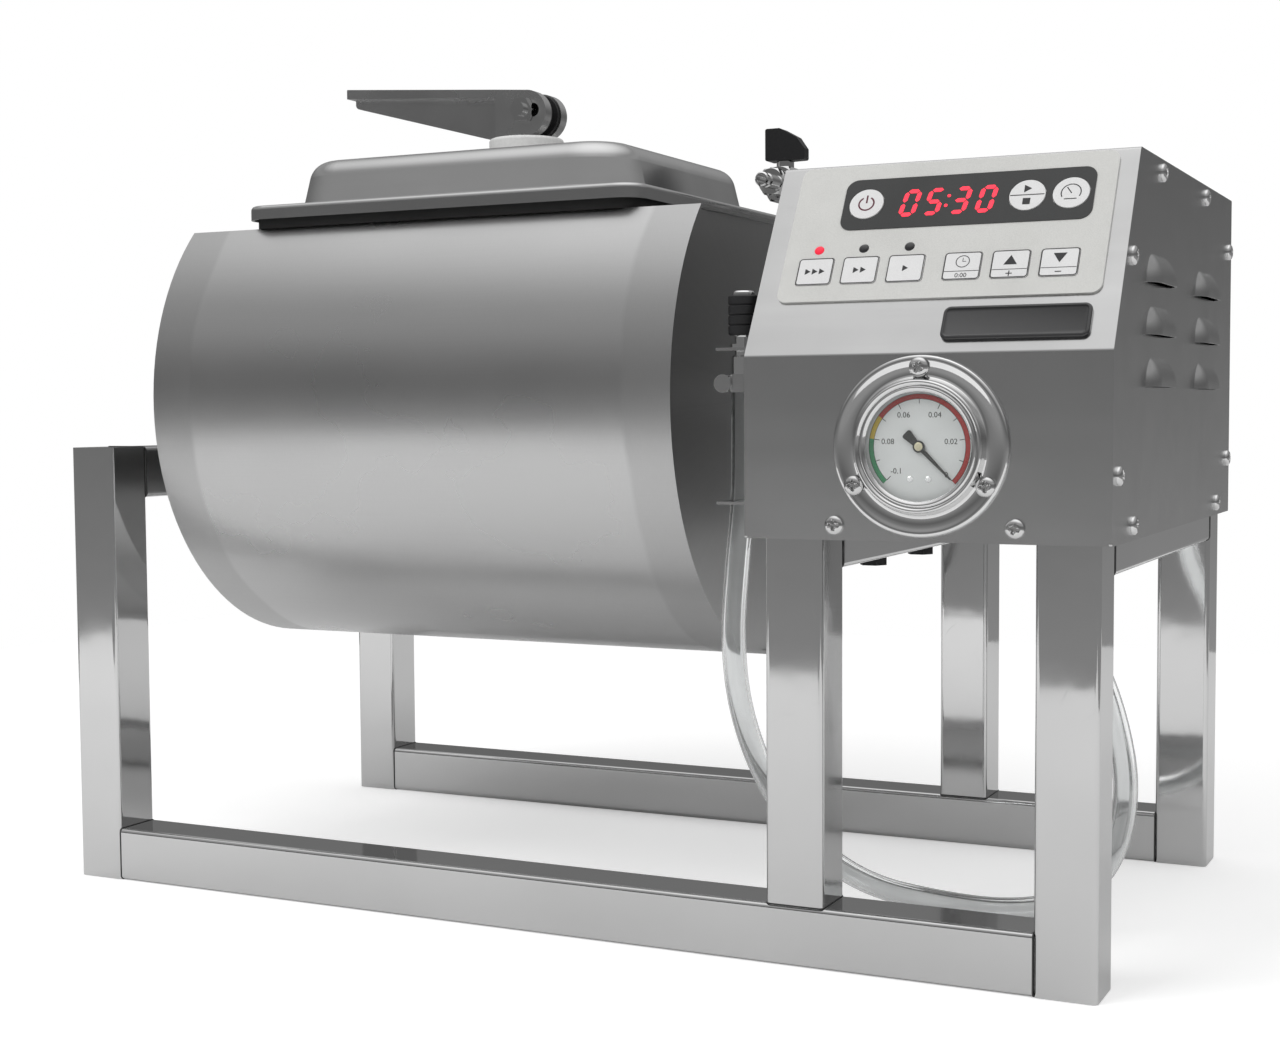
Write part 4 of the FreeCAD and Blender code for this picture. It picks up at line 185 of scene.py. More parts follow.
def rounded_outline(length: float, width: float, radius: float, steps: int = 8) -> np.ndarray:
    """A rounded rectangle about the origin: each corner is centre + r (cos a, sin a).

    Args:
        length: Size along X.
        width: Size along Y.
        radius: Corner radius.
        steps: Points on each corner.

    Returns:
        Array of 4 x steps points, anticlockwise.
    """
    angle = np.linspace(0, math.pi / 2, steps)[None, :] + np.arange(4)[:, None] * math.pi / 2
    centre_x = (length / 2 - radius) * np.array([1, -1, -1, 1])[:, None]
    centre_y = (width / 2 - radius) * np.array([1, 1, -1, -1])[:, None]
    corners = np.stack([centre_x + radius * np.cos(angle), centre_y + radius * np.sin(angle)], -1)
    return corners.reshape(-1, 2)


def stacked(outlines: Sequence[np.ndarray], heights: Sequence[float]) -> Shape:
    """Outlines of equal point counts, one above another, closed at both ends."""
    levels = [np.column_stack([outline, np.full(len(outline), height)])
              for outline, height in zip(outlines, heights)]
    grid = np.stack(levels)
    return grid_shape(grid, wrap_columns=True).with_ends(*grid.shape[:2])


def flat_shape(outline: Sequence[Sequence[float]], low: float, high: float) -> Shape:
    """A flat closed outline given a thickness between two heights."""
    points = np.array(outline, float)
    return stacked([points, points], [low, high])


def arc_band(inner: float, outer: float, start: float, end: float, low: float, high: float,
             steps: int = 48) -> Shape:
    """A flat band along an arc: point = r (cos a, sin a), from start to end in degrees."""
    angle = np.radians(np.linspace(start, end, steps))
    circle = np.stack([np.cos(angle), np.sin(angle)], -1)
    corners = [(inner, low), (outer, low), (outer, high), (inner, high)]
    if end < start:
        corners.reverse()
    rows = [np.column_stack([radius * circle, np.full(steps, height)])
            for radius, height in corners]
    return grid_shape(np.stack(rows, axis=1), wrap_columns=True).with_ends(steps, len(corners))


def seat(origin: Sequence[float], right: Sequence[float], up: Sequence[float]) -> Matrix:
    """A seat on a panel: X to the right, Y up the panel and Z out of it."""
    across, rise = Vector(right).normalized(), Vector(up).normalized()
    matrix = Matrix((across, rise, across.cross(rise))).transposed().to_4x4()
    matrix.translation = Vector(origin)
    return matrix


def linked(name: str, data: bpy.types.ID) -> bpy.types.Object:
    """A new object of some data, linked into the scene."""
    made = bpy.data.objects.new(name, data)
    bpy.context.scene.collection.objects.link(made)
    return made


def shape_of_curve(curve: bpy.types.Curve) -> Shape:
    """The points and faces that a curve makes.  The curve itself is removed."""
    holder = linked(curve.name, curve)
    mesh = bpy.data.meshes.new_from_object(holder)
    bpy.data.objects.remove(holder)
    points = np.zeros(len(mesh.vertices) * 3)
    mesh.vertices.foreach_get("co", points)
    faces = [tuple(polygon.vertices) for polygon in mesh.polygons]
    bpy.data.meshes.remove(mesh)
    bpy.data.curves.remove(curve)
    return Shape(points.reshape(-1, 3), faces)


def put_mesh(name: str, shape: Shape, materials: Sequence[bpy.types.Material], body: str,
             replaces: Sequence[str] = (), flat_angle: float = 35.0,
             face_materials: Sequence[int] | None = None) -> bpy.types.Object:
    """Make a piece of a shape, dress it and let it ride on its body.

    Args:
        name: The piece's name.
        shape: Its surface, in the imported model's frame.
        materials: Its materials.
        body: The body that it rides on.
        replaces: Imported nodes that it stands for.
        flat_angle: Edges sharper than this, in degrees, stay sharp.
        face_materials: Index of the material of each face, where there are several.

    Returns:
        The new object.
    """
    mesh = bpy.data.meshes.new(name)
    mesh.from_pydata(shape.points.tolist(), [], shape.faces)
    for material in materials:
        mesh.materials.append(material)
    if face_materials is not None:
        mesh.polygons.foreach_set("material_index", list(face_materials))
    surface = bmesh.new()
    surface.from_mesh(mesh)
    bmesh.ops.remove_doubles(surface, verts=surface.verts, dist=SAME_POINT)
    bmesh.ops.recalc_face_normals(surface, faces=surface.faces)
    surface.to_mesh(mesh)
    surface.free()
    mesh.shade_smooth()
    mesh.set_sharp_from_angle(angle=math.radians(flat_angle))
    piece = linked(name, mesh)
    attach(piece, body)
    if replaces:
        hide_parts(*replaces)
    LOG.info("piece %s rides on %s: %d faces", name, body, len(mesh.polygons))
    return piece


def lettering(text: str, height: float, thickness: float) -> Shape:
    """Plain numbers as a flat shape about the origin.

    Args:
        text: The characters.
        height: Height of a figure, which is FIGURE_SHARE of the font's size.
        thickness: How far they stand up from height zero.

    Returns:
        The characters as one shape, centred.
    """
    curve = bpy.data.curves.new("lettering", "FONT")
    curve.body = text
    curve.align_x, curve.align_y = "CENTER", "CENTER"
    curve.size = height / FIGURE_SHARE
    curve.extrude = thickness / 2
    curve.resolution_u = 3
    flat = shape_of_curve(curve)
    points = flat.points
    middle = (points.min(0) + points.max(0)) / 2
    middle[2] = -thickness / 2
    return Shape(points - middle, flat.faces)


# ------------------------------------------------------------------------ shader writing
class NodeSheet:
    """Writes the nodes of one tree and links them."""

    def __init__(self, tree: bpy.types.NodeTree) -> None:
        """Start on a tree, which may already hold nodes."""
        self.tree = tree

    def feed(self, socket: bpy.types.NodeSocket, value: object) -> None:
        """Link an input to another node's output, or set its value."""
        if isinstance(value, bpy.types.NodeSocket):
            self.tree.links.new(value, socket)
        else:
            socket.default_value = value

    def put(self, kind: str, inputs: dict[str | int, object] | None = None,
            **settings: object) -> bpy.types.Node:
        """Add a node.

        Args:
            kind: The node's type.
            inputs: Values or sockets for its inputs, by name or number.
            **settings: Properties of the node.

        Returns:
            The new node.
        """
        node = self.tree.nodes.new(kind)
        for key, value in settings.items():
            setattr(node, key, value)
        for key, value in (inputs or {}).items():
            self.feed(node.inputs[key], value)
        return node

    def math(self, operation: str, first: object, second: object = 0.0,
             third: object = 0.0) -> bpy.types.NodeSocket:
        """The result of a Math node on up to three values or sockets."""
        inputs: dict[str | int, object] = {0: first, 1: second, 2: third}
        return self.put("ShaderNodeMath", inputs, operation=operation).outputs[0]

    def vector(self, operation: str, first: object, second: object) -> bpy.types.NodeSocket:
        """The vector result of a Vector Math node."""
        node = self.put("ShaderNodeVectorMath", {0: first, 1: second}, operation=operation)
        return node.outputs[0]

    def noise(self, vector: object, scale: object, detail: float = 2.0,
              rough: float = 0.5) -> bpy.types.NodeSocket:
        """The value of a noise texture."""
        inputs: dict[str | int, object] = {"Vector": vector, "Scale": scale, "Detail": detail,
                                           "Roughness": rough}
        return self.put("ShaderNodeTexNoise", inputs).outputs[0]

    def ranged(self, value: object, low: float, high: float, to_low: object = 0.0,
               to_high: object = 1.0, smooth: bool = False) -> bpy.types.NodeSocket:
        """A value moved from one range to another, and kept inside it."""
        inputs: dict[str | int, object] = {0: value, 1: low, 2: high, 3: to_low, 4: to_high}
        kind = "SMOOTHSTEP" if smooth else "LINEAR"
        return self.put("ShaderNodeMapRange", inputs, interpolation_type=kind).outputs[0]

    def blend(self, share: object, first: object, second: object) -> bpy.types.NodeSocket:
        """Two colours mixed by a share."""
        node = self.put("ShaderNodeMix", {0: share, 6: first, 7: second}, data_type="RGBA")
        return node.outputs[2]


class Pattern(Enum):
    """The patterns that several finishes share, each one node group."""

    BRUSHED = "Brushed grain"
    TURNED = "Brushing round the drum"
    SMUDGES = "Soft smudges"
    SCRATCHES = "Hairline scratches"
    GRAIN = "Fine grain"


PATTERN_INPUTS: dict[Pattern, tuple[str, str, object]] = {
    Pattern.BRUSHED: ("Stretch", "NodeSocketVector", (1.0, 1.0, 1.0)),
    Pattern.TURNED: ("Half length", "NodeSocketFloat", 0.165),
    Pattern.SMUDGES: ("Scale", "NodeSocketFloat", 8.0),
    Pattern.SCRATCHES: ("Scale", "NodeSocketFloat", 20.0),
    Pattern.GRAIN: ("Scale", "NodeSocketFloat", 900.0),
}


class PatternBook:
    """Builds each shared pattern once and hands out its node group."""

    def __init__(self) -> None:
        """Start with no group built."""
        self.groups: dict[Pattern, bpy.types.NodeTree] = {}

    def group(self, pattern: Pattern) -> bpy.types.NodeTree:
        """The node group of a pattern, built the first time that it is asked for."""
        if pattern not in self.groups:
            self.groups[pattern] = self._build(pattern)
        return self.groups[pattern]

    def _build(self, pattern: Pattern) -> bpy.types.NodeTree:
        """Make a pattern's group: Height for bumps, Mask for tone and roughness."""
        tree = bpy.data.node_groups.new(pattern.value, "ShaderNodeTree")
        name, kind, value = PATTERN_INPUTS[pattern]
        tree.interface.new_socket("Vector", in_out="INPUT", socket_type="NodeSocketVector")
        socket = tree.interface.new_socket(name, in_out="INPUT", socket_type=kind)
        socket.default_value = value
        for name in ("Height", "Mask"):
            tree.interface.new_socket(name, in_out="OUTPUT", socket_type="NodeSocketFloat")
        sheet = NodeSheet(tree)
        entry = sheet.put("NodeGroupInput")
        writers = {Pattern.BRUSHED: self._brushed, Pattern.TURNED: self._turned,
                   Pattern.SMUDGES: self._smudges, Pattern.SCRATCHES: self._scratches,
                   Pattern.GRAIN: self._grain}
        height, mask = writers[pattern](sheet, entry)
        sheet.put("NodeGroupOutput", {"Height": height, "Mask": mask})
        return tree

    @staticmethod
    def _brushed(sheet: NodeSheet, entry: bpy.types.Node) -> tuple[bpy.types.NodeSocket, ...]:
        """Fine streaks: two noises on stretched coordinates, and a slow one for tone."""
        stretched = sheet.vector("MULTIPLY", entry.outputs["Vector"], entry.outputs["Stretch"])
        fine = sheet.noise(stretched, 1.0, 3.0, 0.7)
        coarse = sheet.noise(stretched, 0.31, 2.0)
        height = sheet.math("MULTIPLY_ADD", fine, 0.6, sheet.math("MULTIPLY", coarse, 0.4))
        slow = sheet.noise(stretched, 0.06, 3.0, 0.6)
        return height, sheet.ranged(slow, 0.3, 0.7)

    @staticmethod
    def _turned(sheet: NodeSheet, entry: bpy.types.Node) -> tuple[bpy.types.NodeSocket, ...]:
        """Streaks round the drum's axis, and the band at each end as a mask.

        The noise reads the place along X and the angle about X.
        """
        vector, half_length = entry.outputs["Vector"], entry.outputs["Half length"]
        parts = sheet.put("ShaderNodeSeparateXYZ", {0: vector}).outputs
        angle = sheet.math("ARCTAN2", parts[1], parts[2])
        inner = sheet.math("SUBTRACT", half_length, 0.026)
        wander = sheet.math("MULTIPLY", sheet.noise(vector, 9.0, 2.0), 0.012)
        reach = sheet.math("ADD", sheet.math("ABSOLUTE", parts[0]), wander)
        band = sheet.ranged(sheet.math("SUBTRACT", reach, inner), 0.004, 0.007)
        fine_place, lengthwise = (
            sheet.put("ShaderNodeCombineXYZ", {0: sheet.math("MULTIPLY", parts[0], along),
                                               1: sheet.math("MULTIPLY", angle, around)})
            for along, around in ((1500.0, 30.0), (14.0, 260.0)))
        fine = sheet.noise(fine_place.outputs[0], 1.0, 3.0, 0.65)
        level = sheet.noise(lengthwise.outputs[0], 1.0, 3.0, 0.6)
        height = sheet.math("MULTIPLY_ADD", fine, 0.5, sheet.math("MULTIPLY", level, 0.5))
        return height, band

    @staticmethod
    def _smudges(sheet: NodeSheet, entry: bpy.types.Node) -> tuple[bpy.types.NodeSocket, ...]:
        """Slow cloudy variation, as of wiped steel."""
        cloud = sheet.noise(entry.outputs["Vector"], entry.outputs["Scale"], 4.0)
        return cloud, sheet.ranged(cloud, 0.35, 0.7, smooth=True)

    @staticmethod
    def _scratches(sheet: NodeSheet, entry: bpy.types.Node) -> tuple[bpy.types.NodeSocket, ...]:
        """Thin wandering lines, where a slow noise passes through its middle value."""
        place, scale = entry.outputs["Vector"], entry.outputs["Scale"]
        off_middle = sheet.math("SUBTRACT", sheet.noise(place, scale, 1.0), 0.5)
        line = sheet.ranged(sheet.math("ABSOLUTE", off_middle), 0.0, 0.004, 1.0, 0.0)
        kept = sheet.math("MULTIPLY", line, sheet.ranged(sheet.noise(place, scale, 3.0), 0.5, 0.62))
        return kept, kept

    @staticmethod
    def _grain(sheet: NodeSheet, entry: bpy.types.Node) -> tuple[bpy.types.NodeSocket, ...]:
        """Fine even grain, as of moulded plastic, rubber or a sand casting."""
        cloud = sheet.noise(entry.outputs["Vector"], entry.outputs["Scale"], 3.0)
        return cloud, sheet.ranged(cloud, 0.4, 0.65)


PATTERNS = PatternBook()


def grey(value: float) -> tuple[float, float, float, float]:
    """A neutral colour."""
    return value, value, value, 1.0


class FinishSheet(NodeSheet):
    """The nodes of one material: its coordinates, patterns and Principled shader."""

    def __init__(self, name: str, centre: Sequence[float] = (0, 0, 0)) -> None:
        """Start a material whose patterns read Object coordinates about a centre."""
        self.material = bpy.data.materials.new(name)
        self.material.use_nodes = True
        super().__init__(self.material.node_tree)
        self.shader = self.tree.nodes["Principled BSDF"]
        place = self.put("ShaderNodeTexCoord").outputs["Object"]
        shift = tuple(-value for value in centre)
        self.place = self.put("ShaderNodeMapping", {"Vector": place, "Location": shift}).outputs[0]

    def pattern(self, pattern: Pattern, **values: object) -> tuple[bpy.types.NodeSocket, ...]:
        """Place a shared pattern and return its Height and Mask."""
        node = self.put("ShaderNodeGroup", node_tree=PATTERNS.group(pattern))
        self.tree.links.new(self.place, node.inputs["Vector"])
        for key, value in values.items():
            node.inputs[key.capitalize().replace("_", " ")].default_value = value
        return node.outputs["Height"], node.outputs["Mask"]

    def bump(self, height: bpy.types.NodeSocket, depth: float,
             under: bpy.types.NodeSocket | None = None) -> bpy.types.NodeSocket:
        """A bump of a depth in metres, over another normal where given."""
        inputs: dict[str | int, object] = {"Height": height, "Strength": 1.0, "Distance": depth}
        if under is not None:
            inputs["Normal"] = under
        return self.put("ShaderNodeBump", inputs).outputs[0]

    def mixed_with(self, share: bpy.types.NodeSocket, first: bpy.types.NodeSocket,
                   second: bpy.types.NodeSocket) -> None:
        """Let the surface be one shader or another, by a share."""
        mixed = self.put("ShaderNodeMixShader", {0: share, 1: first, 2: second})
        self.tree.links.new(mixed.outputs[0], self.tree.nodes["Material Output"].inputs[0])

    def finish(self, **values: object) -> bpy.types.Material:
        """Set the shader's sockets from values or links and return the material."""
        names = {"colour": "Base Color", "roughness": "Roughness", "metallic": "Metallic",
                 "normal": "Normal", "coat": "Coat Weight", "coat_rough": "Coat Roughness",
                 "transmission": "Transmission Weight", "ior": "IOR", "alpha": "Alpha",
                 "glow": "Emission Color", "glow_strength": "Emission Strength",
                 "specular": "Specular IOR Level", "anisotropic": "Anisotropic"}
        for key, value in values.items():
            self.feed(self.shader.inputs[names[key]], value)
        return self.material


# ------------------------------------------------------------------------------ finishes
@dataclass(frozen=True)
class Steel:
    """Bare steel: bright or dull, brushed along a direction, a little wavy and smudged."""

    name: str
    colour: float = 0.62
    roughness: float = 0.12
    smudge: float = 0.06
    stretch: tuple[float, float, float] = (30.0, 900.0, 900.0)
    grain_depth: float = 0.0
    wave_depth: float = 0.0
    wave_scale: float = 14.0
    scratch: float = 0.0
    anisotropic: float = 0.0

    def make(self) -> bpy.types.Material:
        """Build the material: streaks and waves bump it, smudges vary its roughness."""
        sheet = FinishSheet(self.name)
        grain, streak = sheet.pattern(Pattern.BRUSHED, stretch=self.stretch)
        cloud, smudge = sheet.pattern(Pattern.SMUDGES, scale=self.wave_scale)
        rough = sheet.ranged(smudge, 0.0, 1.0, self.roughness, self.roughness + self.smudge)
        tone = sheet.math("MULTIPLY_ADD", streak, 0.35, sheet.math("MULTIPLY", smudge, 0.3))
        colour = sheet.blend(tone, grey(self.colour * 1.06), grey(self.colour * 0.86))
        normal = sheet.bump(cloud, self.wave_depth)
        normal = sheet.bump(grain, self.grain_depth, normal)
        if self.scratch:
            line, _ = sheet.pattern(Pattern.SCRATCHES, scale=16.0)
            rough = sheet.math("MULTIPLY_ADD", line, self.scratch, rough)
        return sheet.finish(colour=colour, metallic=1.0, roughness=rough, normal=normal,
                            anisotropic=self.anisotropic)


@dataclass(frozen=True)
class DrumSteel:
    """The drum's brushed shell, with crossed brushing in a band at each end."""

    name: str = "drum shell steel"
    colour: float = 0.56
    roughness: float = 0.27
    band_rough: float = 0.07
    depth: float = 1.6e-5

    def make(self) -> bpy.types.Material:
        """Build the material about the drum's own axis."""
        low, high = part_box("drum_shell")
        radius = (high.y - low.y) / 2
        centre = ((low.x + high.x) / 2, (low.y + high.y) / 2, low.z + radius)
        sheet = FinishSheet(self.name, centre)
        height, band = sheet.pattern(Pattern.TURNED, half_length=(high.x - low.x) / 2)
        _, smudge = sheet.pattern(Pattern.SMUDGES, scale=10.0)
        rough = sheet.math("MULTIPLY_ADD", band, self.band_rough,
                           sheet.ranged(smudge, 0.0, 1.0, self.roughness, self.roughness + 0.05))
        tone = sheet.math("MULTIPLY_ADD", band, 0.35, sheet.math("MULTIPLY", height, 0.45))
        colour = sheet.blend(tone, grey(self.colour * 1.1), grey(self.colour * 0.82))
        return sheet.finish(colour=colour, metallic=1.0, roughness=rough,
                            normal=sheet.bump(height, self.depth))


@dataclass(frozen=True)
class Moulded:
    """Moulded or printed plastic, rubber, paint or card: a colour with fine grain."""

    name: str
    colour: tuple[float, float, float]
    roughness: float = 0.4
    vary: float = 0.08
    grain_scale: float = 1200.0
    grain_depth: float = 1e-5
    speckle: float = 0.1
    coat: float = 0.0
    metallic: float = 0.0
    specular: float = 0.5

    def make(self) -> bpy.types.Material:
        """Build the material: grain bumps it, and specks and smudges vary its tone."""
        sheet = FinishSheet(self.name)
        grain, speck = sheet.pattern(Pattern.GRAIN, scale=self.grain_scale)
        _, smudge = sheet.pattern(Pattern.SMUDGES, scale=30.0)
        light = tuple(min(1.0, channel * (1 + self.speckle * 0.5)) for channel in self.colour)
        dark = tuple(channel * (1 - self.speckle) for channel in self.colour)
        tone = sheet.math("MULTIPLY_ADD", speck, 0.7, sheet.math("MULTIPLY", smudge, 0.3))
        colour = sheet.blend(tone, (*light, 1.0), (*dark, 1.0))
        rough = sheet.ranged(smudge, 0.0, 1.0, self.roughness, self.roughness + self.vary)
        return sheet.finish(colour=colour, roughness=rough, coat=self.coat,
                            normal=sheet.bump(grain, self.grain_depth),
                            metallic=self.metallic, specular=self.specular)


@dataclass(frozen=True)
class Clear:
    """Clear glass or soft plastic that lets light through to what is behind it."""

    name: str
    colour: tuple[float, float, float] = (0.97, 0.98, 0.98)
    roughness: float = 0.03
    ior: float = 1.45
    wave_depth: float = 0.0
    veil: float = 0.92

    def make(self) -> bpy.types.Material:
        """Build the material: shadow and diffuse rays pass straight through."""
        sheet = FinishSheet(self.name)
        cloud, smudge = sheet.pattern(Pattern.SMUDGES, scale=60.0)
        colour = sheet.blend(smudge, (*self.colour, 1.0),
                             (*(channel * 0.97 for channel in self.colour), 1.0))
        material = sheet.finish(colour=colour, roughness=self.roughness, ior=self.ior,
                                transmission=1.0, normal=sheet.bump(cloud, self.wave_depth))
        rays = sheet.put("ShaderNodeLightPath").outputs
        passing = sheet.math("MAXIMUM", rays["Is Shadow Ray"], rays["Is Diffuse Ray"])
        veil = sheet.put("ShaderNodeBsdfTransparent", {0: grey(self.veil)})
        sheet.mixed_with(passing, sheet.shader.outputs[0], veil.outputs[0])
        return material


@dataclass(frozen=True)
class Glowing:
    """A lit sign: a soft plastic that also gives off light of its own colour."""

    name: str
    colour: tuple[float, float, float]
    strength: float = 1.0

    def make(self) -> bpy.types.Material:
        """Build the material, with a slightly uneven glow."""
        sheet = FinishSheet(self.name)
        _, smudge = sheet.pattern(Pattern.SMUDGES, scale=300.0)
        dim = tuple(channel * 0.8 for channel in self.colour)
        glow = sheet.blend(smudge, (*self.colour, 1.0), (*dim, 1.0))
        return sheet.finish(colour=(*dim, 1.0), roughness=0.35, glow=glow,
                            glow_strength=self.strength)


FINISHES: dict[str, object] = {
    "polished_tube": Steel("polished tube", 0.66, 0.045, 0.05, (40.0, 40.0, 40.0), 1e-6, 4e-4, 7.0,
                           0.15),
    "drum_steel": DrumSteel(),
    "inner_steel": Steel("inner steel", 0.5, 0.22, 0.1, (400.0, 400.0, 60.0), 4e-6),
    "lid_steel": Steel("pressed lid steel", 0.6, 0.16, 0.06, (40.0, 700.0, 700.0), 3e-6, 8e-5, 9.0),
    "panel_steel": Steel("panel steel", 0.6, 0.2, 0.07, (40.0, 900.0, 900.0), 5e-6, 6e-5, 10.0),
    "bearing_iron": Moulded("bearing iron", (0.12, 0.13, 0.14), 0.5, 0.15, 500.0, 8e-5, 0.3),
    "bearing_steel": Steel("bearing steel", 0.5, 0.16),
    "black_bolt": Moulded("blackened bolt", (0.03, 0.03, 0.032), 0.35, 0.15, 900.0, 2e-5, 0.3,
                          metallic=0.6),
    "bright_screw": Steel("bright screw", 0.7, 0.07, 0.05, (300.0, 300.0, 300.0), 2e-6),
    "chrome": Steel("chrome", 0.78, 0.05, 0.03, (200.0, 200.0, 200.0), 1e-6, 1e-5, 20.0),
    "gauge_case": Moulded("gauge case enamel", (0.03, 0.03, 0.03), 0.3),
    "dial_white": Moulded("dial card", (0.78, 0.8, 0.79), 0.5, 0.08, 2000.0, 2e-6, 0.03),
    "needle_black": Moulded("needle enamel", (0.012, 0.012, 0.01), 0.35),
    "lens_glass": Clear("gauge lens"),
    "keypad_grey": Moulded("keypad film", (0.6, 0.6, 0.58), 0.38, 0.08, 2600.0, 6e-6, 0.12, 0.25),
    "key_face": Moulded("key face", (0.72, 0.72, 0.72), 0.3, 0.08, 2600.0, 3e-6, 0.08, 0.5),
    "window_black": Moulded("black window", (0.02, 0.021, 0.021), 0.28, 0.08, 2600.0, 5e-6, 0.35,
                            0.2),
    "light_red": Glowing("lit speed light", (0.75, 0.02, 0.05), 0.7),
    "gearbox_aluminium": Moulded("gearbox casting", (0.45, 0.46, 0.47), 0.45, 0.15, 260.0, 9e-5,
                                 0.2, metallic=0.9),
    "motor_paint": Moulded("motor paint", (0.07, 0.08, 0.09), 0.45, 0.1, 700.0, 3e-5),
    "board_green": Moulded("board lacquer", (0.02, 0.12, 0.05), 0.3, 0.1, 800.0, 1e-5, 0.2, 0.4),
    "black_nylon": Moulded("black nylon", (0.016, 0.016, 0.017), 0.42, 0.12, 1400.0, 1.2e-5, 0.2),
    "white_nylon": Moulded("white nylon", (0.8, 0.8, 0.79), 0.4, 0.1, 500.0, 1e-5, 0.06),
    "cast_lever": Steel("cast lever", 0.58, 0.2, 0.1, (500.0, 500.0, 500.0), 1.2e-5, 6e-5, 26.0),
    "black_rubber": Moulded("black rubber", (0.012, 0.012, 0.012), 0.7, 0.1, 800.0, 2e-5, 0.2),
    "clear_hose": Clear("clear hose", (0.96, 0.97, 0.97), 0.06, 1.42),
}


class Wardrobe:
    """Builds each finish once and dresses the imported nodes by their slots."""

    def __init__(self) -> None:
        """Start with no material built."""
        self.made: dict[str, bpy.types.Material] = {}

    def get(self, key: str) -> bpy.types.Material:
        """The material of a finish, made the first time that it is asked for."""
        if key not in self.made:
            self.made[key] = FINISHES[key].make()
        return self.made[key]

    def own(self, finish: object) -> bpy.types.Material:
        """The material of a finish that isn't a slot of the record."""
        if finish.name not in self.made:
            self.made[finish.name] = finish.make()
        return self.made[finish.name]

    def dress(self, nodes: dict[str, bpy.types.Object]) -> None:
        """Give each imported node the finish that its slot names."""
        for name, node in nodes.items():
            for slot in node.material_slots:
                key = slot.material.name.split(".")[0]
                slot.material = self.get(key)
            LOG.info("node %s is dressed", name)


# ---------------------------------------------------------------------------- assemblies
def node_centre(node: str) -> Vector:
    """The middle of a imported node's box."""
    low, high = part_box(node)
    return (low + high) / 2


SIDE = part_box("box_right_panel")
SLOPE_FOLD_RISE = 0.088
SLOPE_RUN = 0.0565
SLOPE_FOLD_Z = SIDE[0].z + SLOPE_FOLD_RISE
SLOPE_TILT = math.atan2(SIDE[1].z - SLOPE_FOLD_Z, SLOPE_RUN)
SLOPE_SEAT = seat((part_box("box_left_panel")[0].x, SIDE[0].y, SLOPE_FOLD_Z),
                  (1, 0, 0), (0, math.cos(SLOPE_TILT), math.sin(SLOPE_TILT)))


@dataclass
class CameraStand:
    """The camera: where it stands and how it is turned."""

    place: tuple[float, float, float] = (0.4810, -1.02295, 0.2722)
    yaw: float = 0.45276
    pitch: float = 0.06206
    roll: float = 0.006895
    lens: float = 53.5
    sensor: float = 36.0

    def build(self) -> bpy.types.Object:
        """Make the camera, turned by its yaw, pitch and roll, and make it the scene's own."""
        data = bpy.data.cameras.new("camera")
        data.lens, data.sensor_width, data.sensor_fit = self.lens, self.sensor, "HORIZONTAL"
        data.clip_start, data.clip_end = 0.02, 50.0
        camera = linked("camera", data)
        turn = (Matrix.Rotation(self.yaw, 4, "Z")
                @ Matrix.Rotation(math.pi / 2 - self.pitch, 4, "X")
                @ Matrix.Rotation(-self.roll, 4, "Z"))
        camera.matrix_world = Matrix.Translation(self.place) @ turn
        bpy.context.scene.camera = camera
        return camera


